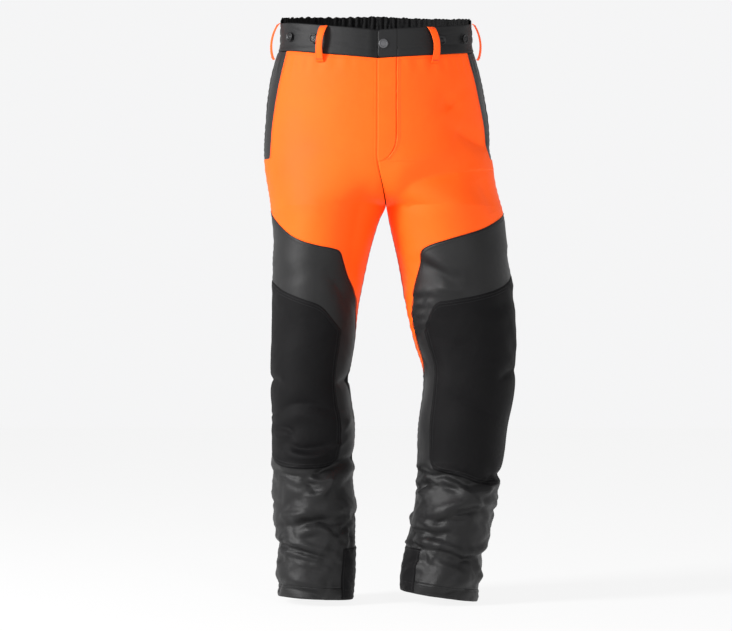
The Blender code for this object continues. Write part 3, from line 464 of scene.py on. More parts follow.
def fold_field(side):
    """Shift vectors over the (column, z) grid of one half."""
    column, z = np.meshgrid(FIELD_COLUMNS, FIELD_Z, indexing="ij")
    t = share_of_column(column, z)
    base = layer(side, t, z)
    steps = np.linalg.norm(np.diff(base, axis=0), axis=-1)
    walked = np.concatenate((np.zeros((1, len(FIELD_Z))), np.cumsum(steps, axis=0)))
    perimeter = walked[-1:]
    u = column * perimeter.mean()
    inseam = np.minimum(walked, perimeter - walked)
    facing = smooth(0.62, 0.54, t) + smooth(0.90, 0.98, t) * (z < CROTCH_HEIGHT)
    lift = np.zeros(t.shape)
    for points, width, height, lean in FRONT_FOLDS[side]:
        path = smooth_path([(x * MM, h * MM) for x, h in points], 18)
        if (path[-1] - path[0])[0] < 0:
            lean = -lean
        strength = FRONT_STRENGTH[side] * MM * height
        lift += fold_lift(base[..., 0], z, path, width * MM, strength, lean) * facing
    loose = random_folds(side, u, z, perimeter.mean())
    loose += drape_noise(side, u, z)
    shin = smooth(0.275, 0.225, z) + smooth(0.40, 0.44, z) * smooth(0.62, 0.56, z) * 0.35
    behind = smooth(0.50, 0.56, t) * (0.55 + 0.45 * smooth(0.52, 0.46, z))
    loose += crumple(side, u, z) * np.maximum(shin, behind * smooth(0.74, 0.70, z))
    thigh = smooth(0.60, 0.78, z) * smooth(0.5, 0.4, t)
    lift += loose * smooth(0.002, 0.030, inseam) * (1.0 - 0.70 * thigh)
    lift += pucker(u, z, np.abs(column - 0.5) * perimeter)
    lift += pucker(u, z + 0.4, inseam) * (z < CROTCH_HEIGHT - 0.02)
    lift *= smooth(0.985, 0.93, z)
    below_band = np.exp(-(((z - 0.962) / 0.014) ** 2)) * smooth(0.05, 0.09, t) * smooth(0.48, 0.40, t)
    lift += 0.6 * MM * np.sin(2.0 * math.pi * u / 0.019 + 4.0 * np.sin(u * 31.0)) * below_band
    lift *= 1.0 - smooth(CROTCH_HEIGHT - 0.03, CROTCH_HEIGHT, z) * smooth(0.050, 0.0, inseam)
    lift *= 1.0 - 0.8 * smooth(0.012, 0.0, z)
    return outward(side, np.clip(t, 0.004, 0.996), z) * lift[..., None]


FIELDS = {side: fold_field(side) for side in (RIGHT, LEFT)}


def shift(side, t, z):
    """Bilinear sample of the fold field."""
    t = np.where(z < CROTCH_HEIGHT, np.mod(t, 1.0), np.clip(t, 0.0, 1.0))
    i = column_of_share(t, z) / FIELD_COLUMNS[1]
    j = (np.clip(z, FIELD_Z[0], FIELD_Z[-1]) - FIELD_Z[0]) / (FIELD_Z[1] - FIELD_Z[0])
    i0 = np.clip(i.astype(int), 0, len(FIELD_COLUMNS) - 2)
    j0 = np.clip(j.astype(int), 0, len(FIELD_Z) - 2)
    a, b = (i - i0)[..., None], (j - j0)[..., None]
    field = FIELDS[side]
    low = field[i0, j0] * (1 - a) + field[i0 + 1, j0] * a
    high = field[i0, j0 + 1] * (1 - a) + field[i0 + 1, j0 + 1] * a
    return low * (1 - b) + high * b


def cloth_point(side, t, z, depth=0.0):
    """Points on the folded garment, in the row frame."""
    t, z = np.broadcast_arrays(np.asarray(t, float), np.asarray(z, float))
    return layer(side, t, z, depth) + shift(side, t, z) - WAIST_CENTRE


# ---------------------------------------------------------------- materials


class Nodes:
    """Short calls for building one material's nodes."""

    def __init__(self, name):
        self.material = bpy.data.materials.new(name)
        self.material.use_nodes = True
        self.tree = self.material.node_tree
        self.shader = self.tree.nodes["Principled BSDF"]

    def add(self, kind, inputs=None, **settings):
        """A node with settings; inputs are values or other nodes' output sockets."""
        node = self.tree.nodes.new(kind)
        for key, value in settings.items():
            setattr(node, key, value)
        for key, value in (inputs or {}).items():
            self.put(node.inputs[key], value)
        return node

    def put(self, socket, value):
        """Links an output socket, or sets a value."""
        if isinstance(value, bpy.types.NodeSocket):
            self.tree.links.new(value, socket)
        else:
            socket.default_value = value

    def math(self, operation, a, b=0.0):
        """The output of one Math node."""
        return self.add("ShaderNodeMath", {0: a, 1: b}, operation=operation).outputs[0]

    def noise(self, vector, scale, detail=3.0, roughness=0.55):
        """The value output of a noise texture."""
        inputs = {"Vector": vector, "Scale": scale, "Detail": detail, "Roughness": roughness}
        return self.add("ShaderNodeTexNoise", inputs).outputs[0]

    def ramp(self, value, *stops):
        """A colour ramp's output, from (position, colour) stops."""
        node = self.add("ShaderNodeValToRGB", {"Fac": value})
        elements = node.color_ramp.elements
        while len(elements) < len(stops):
            elements.new(0.5)
        for element, (position, colour) in zip(elements, stops):
            element.position = position
            element.color = (*colour, 1.0)
        return node.outputs[0]


def weave_height(nodes, coordinates, pitch):
    """Plain weave: threads over and under each other, as a height from 0 to 1."""
    split = nodes.add("ShaderNodeSeparateXYZ", {0: coordinates})
    frequency = math.pi / pitch
    across = nodes.math("MULTIPLY", split.outputs[0], frequency)
    upward = nodes.math("MULTIPLY", split.outputs[1], frequency)
    sine_u = nodes.math("SINE", across)
    sine_v = nodes.math("SINE", upward)
    over = nodes.math("MULTIPLY", sine_u, sine_v)
    warp = nodes.math("ABSOLUTE", nodes.math("COSINE", across))
    weft = nodes.math("ABSOLUTE", nodes.math("COSINE", upward))
    mixed = nodes.add("ShaderNodeMix", {0: nodes.math("GREATER_THAN", over, 0.0), 2: warp, 3: weft})
    return mixed.outputs[0]


def cloth_material(name, colour, dark, roughness, pitch, relief, sheen=0.0, tint=(1, 1, 1), glow=None,
                   specular=0.5):
    """Woven cloth: thread relief, patchy tone, and roughness that varies over the surface; painted shade
    darkens the weave between its threads, and a glow, where given, is an emission that paints light into the
    cloth.
    """
    nodes = Nodes(name)
    place = nodes.add("ShaderNodeTexCoord")
    uv, objectwise = place.outputs["UV"], place.outputs["Object"]
    patches = nodes.noise(objectwise, 9.0, 4.0)
    fine = nodes.noise(objectwise, 900.0, 2.0)
    weave = weave_height(nodes, uv, pitch)
    tone = nodes.math("ADD", nodes.math("MULTIPLY", patches, 0.75), nodes.math("MULTIPLY", fine, 0.25))
    base = nodes.ramp(tone, (0.32, dark), (0.62, colour))
    # Painted shade: over the weave's own pattern, the colour drops to 0.8 at the thread edges between the
    # threads and stays full on their crowns.
    thread = nodes.ramp(weave, (0.0, (0.80, 0.80, 0.80)), (0.55, (1.0, 1.0, 1.0)))
    both = nodes.add("ShaderNodeMix", {0: 1.0, 6: base, 7: thread}, data_type="RGBA", blend_type="MULTIPLY")
    nodes.put(nodes.shader.inputs["Base Color"], both.outputs[2])
    rough = nodes.add(
        "ShaderNodeMapRange",
        {
            "Value": patches,
            "From Min": 0.3,
            "From Max": 0.7,
            "To Min": roughness - 0.05,
            "To Max": roughness + 0.06,
        },
    )
    nodes.put(nodes.shader.inputs["Roughness"], rough.outputs[0])
    nodes.shader.inputs["Specular IOR Level"].default_value = specular
    nodes.shader.inputs["Sheen Weight"].default_value = sheen
    nodes.shader.inputs["Sheen Roughness"].default_value = 0.45
    nodes.shader.inputs["Sheen Tint"].default_value = (*tint, 1.0)
    # Painted light: the emission makes the cloth glow in its shade as well as in the light, though it is no
    # lamp.
    if glow is not None:
        nodes.shader.inputs["Emission Color"].default_value = (*glow[:3], 1.0)
        nodes.shader.inputs["Emission Strength"].default_value = glow[3]
    height = nodes.math("ADD", nodes.math("MULTIPLY", weave, 1.0), nodes.math("MULTIPLY", fine, 0.6))
    threads = nodes.add("ShaderNodeBump", {"Strength": relief, "Distance": 0.25 * pitch, "Height": height})
    crumple = nodes.noise(objectwise, 60.0, 3.0)
    soft = nodes.add(
        "ShaderNodeBump",
        {"Strength": 0.25, "Distance": 0.0016, "Height": crumple, "Normal": threads.outputs[0]},
    )
    nodes.put(nodes.shader.inputs["Normal"], soft.outputs[0])
    return nodes.material


def metal_material(name, colour, roughness, metallic=1.0):
    """Painted or plated metal with fine scratches and worn tone."""
    nodes = Nodes(name)
    place = nodes.add("ShaderNodeTexCoord").outputs["Object"]
    grain = nodes.noise(place, 420.0, 3.0)
    smear = nodes.noise(place, 60.0, 2.0)
    dark = tuple(0.7 * c for c in colour)
    nodes.put(nodes.shader.inputs["Base Color"], nodes.ramp(smear, (0.35, dark), (0.65, colour)))
    spread = nodes.add(
        "ShaderNodeMapRange", {"Value": grain, "To Min": roughness - 0.08, "To Max": roughness + 0.12}
    )
    nodes.put(nodes.shader.inputs["Roughness"], spread.outputs[0])
    nodes.shader.inputs["Metallic"].default_value = metallic
    bump = nodes.add("ShaderNodeBump", {"Strength": 0.12, "Distance": 0.0002, "Height": grain})
    nodes.put(nodes.shader.inputs["Normal"], bump.outputs[0])
    return nodes.material


MATERIALS = {
    # The orange's deep red-orange emission is painted light: it lifts the shaded folds to a saturated red.
    "orange": cloth_material(
        "orange_cloth", (1.0, 0.128, 0.007), (0.97, 0.110, 0.005),
        0.58, 0.0009, 0.35, sheen=0.08, tint=(1.0, 0.40, 0.12), glow=(1.0, 0.022, 0.002, 0.24), specular=0.16,
    ),
    "grey": cloth_material(
        "grey_cloth", (0.0135, 0.0133, 0.0137), (0.0085, 0.0083, 0.0087),
        0.47, 0.0008, 0.30, specular=0.24,
    ),
    "black": cloth_material(
        "black_cloth", (0.0048, 0.0045, 0.0050), (0.0036, 0.0033, 0.0038),
        0.60, 0.0013, 0.5, specular=0.11,
    ),
    "back": cloth_material(
        "back_cloth", (0.0110, 0.0110, 0.0115), (0.0080, 0.0080, 0.0085),
        0.50, 0.0009, 0.35, specular=0.20,
    ),
    "band": cloth_material(
        "band_cloth", (0.0135, 0.0135, 0.0140), (0.0100, 0.0100, 0.0105),
        0.50, 0.0008, 0.30, specular=0.20,
    ),
    "elastic": cloth_material(
        "elastic_cloth", (0.0025, 0.0025, 0.0028), (0.0016, 0.0016, 0.0018),
        0.6, 0.0010, 0.5, specular=0.12,
    ),
    "lining": cloth_material(
        "lining_cloth", (0.012, 0.012, 0.013), (0.009, 0.009, 0.010),
        0.6, 0.0006, 0.25,
    ),
    "guard": cloth_material(
        "guard_fibre", (0.80, 0.79, 0.73), (0.68, 0.67, 0.61),
        0.85, 0.0022, 0.8,
    ),
    "thread_dark": cloth_material(
        "thread_dark", (0.010, 0.010, 0.011), (0.007, 0.007, 0.008),
        0.5, 0.0003, 0.4,
    ),
    "thread_orange": cloth_material(
        "thread_orange", (0.95, 0.085, 0.006), (0.80, 0.06, 0.004),
        0.5, 0.0003, 0.4,
    ),
    "snap": metal_material("snap_metal", (0.105, 0.105, 0.11), 0.45, 0.7),
    "button": metal_material("button_metal", (0.010, 0.010, 0.011), 0.40, 0.4),
    "slider": metal_material("slider_metal", (0.06, 0.06, 0.062), 0.35),
    "plastic": metal_material("zip_plastic", (0.012, 0.012, 0.013), 0.40, 0.0),
}

# ---------------------------------------------------------------- mesh helpers


def mesh_object(name, points, faces, material, uvs=None):
    """A mesh object from points, faces and a (u, v) for each point."""
    mesh = bpy.data.meshes.new(name)
    mesh.from_pydata([tuple(p) for p in points], [], [tuple(int(i) for i in f) for f in faces])
    mesh.update()
    if uvs is not None:
        uv_layer = mesh.uv_layers.new(name="cloth")
        corners = np.zeros(len(mesh.loops), np.int32)
        mesh.loops.foreach_get("vertex_index", corners)
        uv_layer.data.foreach_set("uv", np.asarray(uvs, np.float32)[corners].ravel())
    mesh.materials.append(MATERIALS[material])
    mesh.shade_smooth()
    made = bpy.data.objects.new(name, mesh)
    bpy.context.scene.collection.objects.link(made)
    return made


def grid_faces(columns, rows, wrap=False, flip=False, start=0):
    """Quads over a grid stored column by column."""
    spans = columns if wrap else columns - 1
    i, j = np.meshgrid(np.arange(spans), np.arange(rows - 1), indexing="ij")
    k = (i + 1) % columns
    quads = np.stack((i * rows + j, k * rows + j, k * rows + j + 1, i * rows + j + 1), -1).reshape(-1, 4)
    return (quads[:, ::-1] if flip else quads) + start


def thicken(made, thickness, inward=True):
    """Gives a surface its cloth thickness, with rims."""
    solid = made.modifiers.new("thickness", "SOLIDIFY")
    solid.thickness = thickness
    solid.offset = -1.0 if inward else 1.0
    solid.use_even_offset = False
    return made


STEP = 0.0032
EDGE_STEPS = np.array((0.0, 0.0008, 0.0018, 0.0030, 0.0045, 0.0062))


def spread(low, high, step, edges=True):
    """Places from low to high (arrays): close together near both ends, about a step apart between."""
    low, high = np.broadcast_arrays(np.asarray(low, float), np.asarray(high, float))
    longest = float((high - low).max())
    if not edges or longest < 4.0 * EDGE_STEPS[-1]:
        count = max(3, int(longest / (0.4 * step)) + 1)
        share = np.linspace(0.0, 1.0, count)
        return low[..., None] + (high - low)[..., None] * share
    count = max(3, int(longest / step))
    room = np.minimum(1.0, 0.45 * (high - low) / EDGE_STEPS[-1])[..., None]
    first = low[..., None] + EDGE_STEPS * room
    last = high[..., None] - EDGE_STEPS[::-1] * room
    share = np.linspace(0.0, 1.0, count)[1:-1]
    middle = first[..., -1:] + (last[..., :1] - first[..., -1:]) * share
    return np.concatenate((first, middle, last), axis=-1)


def seam_roll(distance, roll=0.9 * MM):
    """Extra depth near a sewn edge: the edge turns under, and a stitched groove follows it."""
    turn = roll * (1.0 - smooth(0.0, 0.0030, distance))
    groove = 0.25 * MM * np.exp(-(((distance - 0.0052) / 0.0011) ** 2))
    return turn + groove


def panel(name, nodes, side, first, last, low, high, material, depth=0.0, thickness=1.0 * MM,
          wrap=False, roll=0.9 * MM, step=STEP, extra=None, through_fork=False):
    """A cloth panel between two shares and two height curves, replacing CAD nodes."""
    perimeter = 0.46
    if wrap:
        shares = np.arange(0.0, 1.0, step / perimeter)
    else:
        shares = spread(first * perimeter, last * perimeter, step) / perimeter
    bottom, top = low(shares), high(shares)
    z = spread(bottom, top, step)
    t = shares[:, None] + 0.0 * z
    if through_fork:
        t = share_of_column(t, z)
        top = high(t[:, -1])
        z = spread(bottom, top, step)
        t = share_of_column(shares[:, None] + 0.0 * z, z)
    slope_low = np.gradient(bottom, shares * perimeter)[:, None]
    slope_high = np.gradient(top, shares * perimeter)[:, None]
    above = (z - bottom[:, None]) / np.hypot(1, slope_low)
    below = (top[:, None] - z) / np.hypot(1, slope_high)
    distance = np.minimum(above, below)
    if not wrap:
        ends = np.minimum(t - first, last - t) * perimeter
        distance = np.minimum(distance, ends)
    deep = depth + seam_roll(np.maximum(distance, 0.0), roll)
    if extra is not None:
        deep = deep + extra(t, z, distance)
    points = cloth_point(side, t, z, deep)
    uvs = np.stack((t * perimeter, z), -1)
    faces = grid_faces(*z.shape, wrap=wrap, flip=side == RIGHT)
    made = mesh_object(name, points.reshape(-1, 3), faces, material, uvs.reshape(-1, 2))
    thicken(made, thickness)
    return finish_piece(made, nodes)


def finish_piece(made, nodes, body="trousers"):
    """Hangs a piece on its body, in place of its CAD nodes."""
    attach(made, body)
    if nodes:
        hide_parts(*nodes)
    return made


# ---------------------------------------------------------------- stitches and cords

THREADS = {}


def stitches(key, path, normals, spacing=0.0034, length=0.0026, radius=0.00030, lift=0.00012):
    """Adds a row of stitches along a path to the thread mesh named by key."""
    path, normals = np.asarray(path), np.asarray(normals)
    steps = np.linalg.norm(np.diff(path, axis=0), axis=-1)
    places = np.concatenate(([0.0], np.cumsum(steps)))
    count = int(places[-1] / spacing)
    if count < 1:
        return
    middles = (np.arange(count) + 0.5) * spacing

    def at(values, where):
        return np.stack([np.interp(where, places, values[:, k]) for k in range(3)], -1)

    centre = at(path, middles)
    ahead = at(path, middles + 0.5 * length) - at(path, middles - 0.5 * length)
    ahead /= np.linalg.norm(ahead, axis=-1, keepdims=True)
    up = at(normals, middles)
    up /= np.linalg.norm(up, axis=-1, keepdims=True)
    across = np.cross(ahead, up)
    points, faces = THREADS.setdefault(key, ([], []))
    sides = 5
    ring = np.linspace(0.0, 2.0 * math.pi, sides, endpoint=False)
    for c, a, n, s in zip(centre + up * lift, ahead, up, across):
        start = len(points)
        points.append(c - a * 0.5 * length - n * 0.5 * radius)
        for place, swell in ((-0.30, 0.92), (0.30, 0.92)):
            for angle in ring:
                around = math.cos(angle) * s + math.sin(angle) * n
                points.append(c + a * place * length + around * radius * swell)
        points.append(c + a * 0.5 * length - n * 0.5 * radius)
        tip = start + 1 + 2 * sides
        for k in range(sides):
            m = (k + 1) % sides
            faces.append((start, start + 1 + m, start + 1 + k))
            faces.append((start + 1 + k, start + 1 + m, start + 1 + sides + m, start + 1 + sides + k))
            faces.append((tip, start + 1 + sides + k, start + 1 + sides + m))


def seam_path(side, t, z, depth):
    """Points on the cloth and the surface's normals, for a row of stitches."""
    t, z = np.broadcast_arrays(np.asarray(t, float), np.asarray(z, float))
    return cloth_point(side, t, z, depth), outward(side, t, z)


def stitch_row(key, side, t, z, depth=0.0, **settings):
    """A row of stitches along (t, z) points of the cloth."""
    stitches(key, *seam_path(side, t, z, depth), **settings)


def tube(name, path, radius, material, sides=8):
    """A thin round cord along a path."""
    path = np.asarray(path)
    ahead = np.gradient(path, axis=0)
    ahead /= np.linalg.norm(ahead, axis=-1, keepdims=True)
    reference = np.array((0.0, 1.0, 0.0))
    across = np.cross(ahead, reference)
    across /= np.linalg.norm(across, axis=-1, keepdims=True)
    up = np.cross(across, ahead)
    ring = np.linspace(0.0, 2.0 * math.pi, sides, endpoint=False)
    around = across[:, None, :] * np.cos(ring)[None, :, None] + up[:, None, :] * np.sin(ring)[None, :, None]
    points = path[:, None, :] + radius * around
    faces = [list(f) for f in grid_faces(sides, len(path), wrap=True)]
    points = points.transpose(1, 0, 2).reshape(-1, 3)
    rows = len(path)
    faces.append([k * rows for k in range(sides)])
    faces.append([k * rows + rows - 1 for k in reversed(range(sides))])
    uvs = np.zeros((len(points), 2))
    uvs[:, 1] = np.tile(np.arange(rows) * 0.003, sides)
    made = mesh_object(name, points, faces, material, uvs)
    return finish_piece(made, ())


# ---------------------------------------------------------------- front and back panels

SLASH = {
    RIGHT: ((0.7965, 0.192), (0.850, 0.1885), (0.9045, 0.181), (0.955, 0.170), (0.992, 0.1605)),
    LEFT: ((0.7965, 0.2045), (0.850, 0.195), (0.9045, 0.182), (0.955, 0.169), (0.992, 0.1585)),
}  # height, distance of the pocket mouth from the centre line
HALF_ROUND = 0.46  # a typical distance round one leg, which turns shares into lengths


def slash_share(side, z):
    """Share round the leg at which the slanted pocket mouth lies."""
    z = np.maximum(z, POCKET_FLOOR)
    return t_at(side, z, follow(SLASH[side], z))


def fly_outline(z, widen=0.0):
    """Distance of the fly's stitched edge from the centre line at a height."""
    rise = np.clip((z - FLY_LOW) / FLY_CURVE, 0.0, 1.0)
    return (FLY_WIDTH + widen) * np.sqrt(1.0 - (1.0 - rise) ** 2)


def fly_start(side, z):
    """Share at which the orange front starts: at the centre seam, or round the fly's outline."""
    if side == RIGHT:
        return 0.0002 + 0.0 * z
    return np.where(z > FLY_LOW, t_at(side, z, fly_outline(z, 0.4 * MM) + 0.1 * MM), 0.0002)


def front_upper(side):
    """Orange front of hip and thigh: grid columns bend round the fly and the slanted pocket mouth."""
    which = SIDE_NAMES[side]
    near = EDGE_STEPS / 0.19
    inner = np.concatenate((near, np.linspace(near[-1], 1.0 - near[-1], 60)[1:-1], 1.0 - near[::-1]))
    tail = np.linspace(0.0, 1.0, 16)[1:]

    def shares_at(z, columns):
        first = column_of_share(fly_start(side, z), z)
        mouth = column_of_share(slash_share(side, z), z)
        inside = first + (mouth - first) * np.minimum(columns, 1.0)
        wanted = np.where(columns <= 1.0, inside, mouth + (0.4997 - mouth) * (columns - 1.0))
        return share_of_column(wanted, z)

    columns = np.concatenate((inner, 1.0 + tail))
    guess = shares_at(np.full(columns.shape, 0.70), columns)
    edge = follow(PANEL_EDGE[side], guess)
    for _ in range(6):
        guess = shares_at(edge, columns)
        edge = follow(PANEL_EDGE[side], guess)
    lower = spread(edge + 0.2 * MM, FLY_LOW + 0.0 * edge, STEP)
    middle = np.linspace(FLY_LOW, POCKET_FLOOR, 5)[1:] + 0.0 * edge[:, None]
    top = seam_height(side, shares_at(np.full(columns.shape, 0.985), columns))
    share = np.linspace(0.0, 1.0, 62)[1:-1]
    last = top[:, None] - EDGE_STEPS[::-1]
    upper = np.concatenate((POCKET_FLOOR + (last[:, :1] - POCKET_FLOOR) * share, last), axis=1)
    z = np.concatenate((lower, middle, upper), axis=1)
    t = shares_at(z, columns[:, None] + 0.0 * z)
    body_rows = lower.shape[1] + middle.shape[1]

    slope = np.gradient(edge, guess * HALF_ROUND)[:, None]
    distance = (z - edge[:, None]) / np.hypot(1.0, slope)
    distance = np.minimum(distance, top[:, None] - z)
    distance = np.minimum(distance, (t - fly_start(side, z)) * 0.62)
    mouth = np.where(z > POCKET_FLOOR, (slash_share(side, z) - t) * 0.62, (0.5 - t) * 0.55)
    distance = np.maximum(np.minimum(distance, mouth), 0.0)
    points = cloth_point(side, t, z, seam_roll(distance))
    uvs = np.stack((t * HALF_ROUND, z), -1)
    rows = z.shape[1]
    faces = grid_faces(len(columns), rows, flip=side == RIGHT)
    column = faces.min(axis=1) // rows
    row = faces.min(axis=1) % rows
    keep = (column < len(inner) - 1) | (row < body_rows - 1)
    corners = points.reshape(-1, 3)
    made = mesh_object(f"thigh_cloth_{which}", corners, faces[keep], "orange", uvs.reshape(-1, 2))
    drop_loose(made)
    thicken(made, 1.0 * MM)
    return finish_piece(made, (f"front_upper_{which}",))


def drop_loose(made):
    """Removes points that no face uses."""
    bm = bmesh.new()
    bm.from_mesh(made.data)
    loose = [v for v in bm.verts if not v.link_faces]
    for v in loose:
        bm.verts.remove(v)
    bm.to_mesh(made.data)
    bm.free()


def leg_panels(side):
    """Grey front of the leg, dark seat and calf, patches and hem."""
    which = SIDE_NAMES[side]

    def hem_top(t):
        return hem_height(side, t) + HEM_BAND_HEIGHT

    panel(f"leg_cloth_{which}", (f"front_leg_{which}",), side, 0.0005, 0.4995,
          lambda t: hem_top(t) - 0.4 * MM, lambda t: follow(PANEL_EDGE[side], t) - 0.2 * MM,
          "grey")
    top, bottom = PATCH_TOP[side], PATCH_BOTTOM[side]
    panel(f"knee_patch_cloth_{which}", (f"knee_patch_{which}",), side, top[0][0], top[-1][0],
          lambda t: follow(bottom, t), lambda t: follow(top, t), "black",
          depth=-1.5 * MM, thickness=1.2 * MM, roll=0.8 * MM)
    panel(f"kick_patch_cloth_{which}", (f"ankle_patch_{which}",), side, -KICK_SHARE, KICK_SHARE,
          lambda t: hem_height(side, t) + 0.6 * MM, lambda t: KICK_TOP + 0.0 * t, "black",
          depth=-1.6 * MM, thickness=1.1 * MM, roll=0.7 * MM)
    panel(f"hem_cloth_{which}", (f"hem_band_{which}",), side, 0.0, 1.0,
          lambda t: hem_height(side, t), lambda t: hem_top(t) + 0.2 * MM, "grey",
          depth=-0.1 * MM, thickness=2.0 * MM, wrap=True, roll=0.7 * MM)
    panel(f"seat_cloth_{which}", (f"back_panel_{which}",), side, 0.5005, 0.9995,
          lambda t: KNEE_SEAM_HEIGHT + 0.0 * t, lambda t: seam_height(side, t),
          "back", step=0.0038,
          through_fork=True)
    panel(f"calf_cloth_{which}", (f"back_leg_{which}",), side, 0.5005, 0.9995,
          lambda t: hem_top(t) - 0.4 * MM, lambda t: KNEE_SEAM_HEIGHT - 0.4 * MM + 0.0 * t,
          "back",
          step=0.0038)
    panel(f"pocket_facing_cloth_{which}", (f"pocket_facing_{which}",), side, 0.325, 0.4993,
          lambda t: POCKET_FLOOR - 0.012 + 0.0 * t, lambda t: seam_height(side, t) - 0.5 * MM,
          "grey",
          depth=1.6 * MM, thickness=0.9 * MM, roll=0.3 * MM)


def inner_layers(side):
    """Lining, cut-protection pad and pocket bag, at the depths of their CAD solids."""
    which = SIDE_NAMES[side]
    panel(f"pocket_bag_cloth_{which}", (f"pocket_bag_{which}",), side, 0.175, 0.455,
          lambda t: 0.722 + 0.0 * t, lambda t: seam_height(side, t) - 4.0 * MM, "lining",
          depth=4.8 * MM, thickness=0.6 * MM, step=0.008)

    def quilting(t, z, distance):
        channels = 1.1 * MM * (1.0 - np.abs(np.sin(math.pi * (z + 0.25 * t) / 0.045)) ** 0.5)
        behind_fly = smooth(0.020, 0.008, distance) * smooth(0.740, 0.770, z) * (t < 0.3)
        return channels + 3.0 * MM * behind_fly

    panel(f"guard_pad_fibre_{which}", (f"saw_guard_pad_{which}",), side, 0.066, 0.529,
          lambda t: 0.050 + 0.0 * t, lambda t: 0.912 + 0.0 * t, "guard",
          depth=8.7 * MM, thickness=4.6 * MM, step=0.009, extra=quilting, through_fork=True)
    panel(f"lining_cloth_{which}", (f"lining_{which}",), side, 0.006, 0.994,
          lambda t: np.maximum(0.030, hem_height(side, t) + 0.018), lambda t: seam_height(side, t) - 4.0 * MM,
          "lining", depth=17.2 * MM, thickness=0.7 * MM, step=0.008, through_fork=True)


# ---------------------------------------------------------------- seams


def sewn_loop(side, first, last, low, high, inset, depth):
    """A row of stitches the given distance inside a panel's four edges."""
    across = np.linspace(first + inset / HALF_ROUND, last - inset / HALF_ROUND, 120)
    for height in (low(across) + inset, high(across) - inset):
        stitch_row("dark", side, across, height, depth=depth)
    for share in (across[0], across[-1]):
        z = np.linspace(float(low(share)) + inset, float(high(share)) - inset, 120)
        stitch_row("dark", side, share + 0.0 * z, z, depth=depth)


def seam_stitches(side):
    """Topstitching along every seam that shows."""
    on_cloth, on_patch = -0.05 * MM, -1.6 * MM
    t = np.linspace(0.0, 0.5, 160)
    edge = follow(PANEL_EDGE[side], t)
    lean = np.hypot(1.0, np.gradient(edge, t * HALF_ROUND))
    stitch_row("dark", side, t, edge - 0.0052 * np.minimum(lean, 3.0), depth=on_cloth)
    top, bottom = PATCH_TOP[side], PATCH_BOTTOM[side]
    for inset in (0.0040, 0.0085):
        sewn_loop(side, top[0][0], top[-1][0], lambda a: follow(bottom, a), lambda a: follow(top, a),
                  inset, on_patch)
    sewn_loop(side, -KICK_SHARE, KICK_SHARE, lambda a: hem_height(side, a) + 0.6 * MM,
              lambda a: KICK_TOP + 0.0 * a, 0.0035, on_patch)
    kick = np.linspace(-KICK_SHARE + 0.01, KICK_SHARE - 0.01, 90)
    stitch_row("dark", side, kick, hem_height(side, kick) + HEM_BAND_HEIGHT - 0.003, depth=on_patch)
    round_leg = np.linspace(KICK_SHARE, 1.0 - KICK_SHARE, 240)
    hem_stitches = hem_height(side, round_leg) + HEM_BAND_HEIGHT - 0.0045
    stitch_row("dark", side, round_leg, hem_stitches, depth=-0.2 * MM)
    for share, low, high in ((0.5, 0.03, 0.79), (1.0, 0.11, 0.70)):
        z = np.linspace(low, high, 400)
        for off in (0.0052, 0.0105):
            stitch_row("dark", side, share + off / HALF_ROUND + 0.0 * z, z, depth=on_cloth)
    z = np.linspace(POCKET_FLOOR, 0.982, 120)
    for off in (0.0045, 0.0095):
        stitch_row("orange", side, slash_share(side, z) - off / 0.62, z, depth=on_cloth)
    back = np.linspace(0.52, 0.98, 200)
    stitch_row("dark", side, back, KNEE_SEAM_HEIGHT + 0.005 + 0.0 * back, depth=on_cloth)
    z = np.linspace(0.72, 0.985, 150)
    stitch_row("dark", side, 1.0 - 0.006 / 0.62 + 0.0 * z, z, depth=on_cloth)
    front = np.linspace(0.02, float(slash_share(side, 0.985)), 120)
    if side == LEFT:
        front = np.linspace(float(t_at(side, 0.97, FLY_WIDTH + 0.003)), front[-1], 110)
    stitch_row("orange", side, front, seam_height(side, front) - 0.005, depth=on_cloth)


def piping(side):
    """Thin dark cord sewn in along the grey panel's top edge."""
    t = np.linspace(0.002, 0.498, 260)
    z = follow(PANEL_EDGE[side], t)
    path = cloth_point(side, t, z, -0.1 * MM)
    tube(f"panel_piping_{SIDE_NAMES[side]}", path, 0.5 * MM, "grey")


# ---------------------------------------------------------------- waist


def band_point(side, t, share, depth=0.0):
    """A point up the waistband: share 0 at the waist seam and 1 at the top edge."""
    low = seam_height(side, t) + 0.2 * MM
    return layer(side, t, low + share * band_height(t), depth) - WAIST_CENTRE


def band_creases(u, v, seed):
    """Flat level creases and dents of the front band."""
    rng = np.random.default_rng(seed)
    made = np.zeros(u.shape)
    for _ in range(16):
        u0, v0 = rng.uniform(0.0, u.max()), rng.uniform(0.008, 0.044)
        length, width = rng.uniform(0.025, 0.07), rng.uniform(0.0012, 0.0026)
        tilt = rng.normal(0.0, 0.05)
        along = (u - u0) / (0.5 * length)
        across = (v - v0 - tilt * (u - u0)) / width
        made += rng.uniform(0.15, 0.45) * MM * np.exp(-(along**2)) * np.exp(-(across**2))
    return made


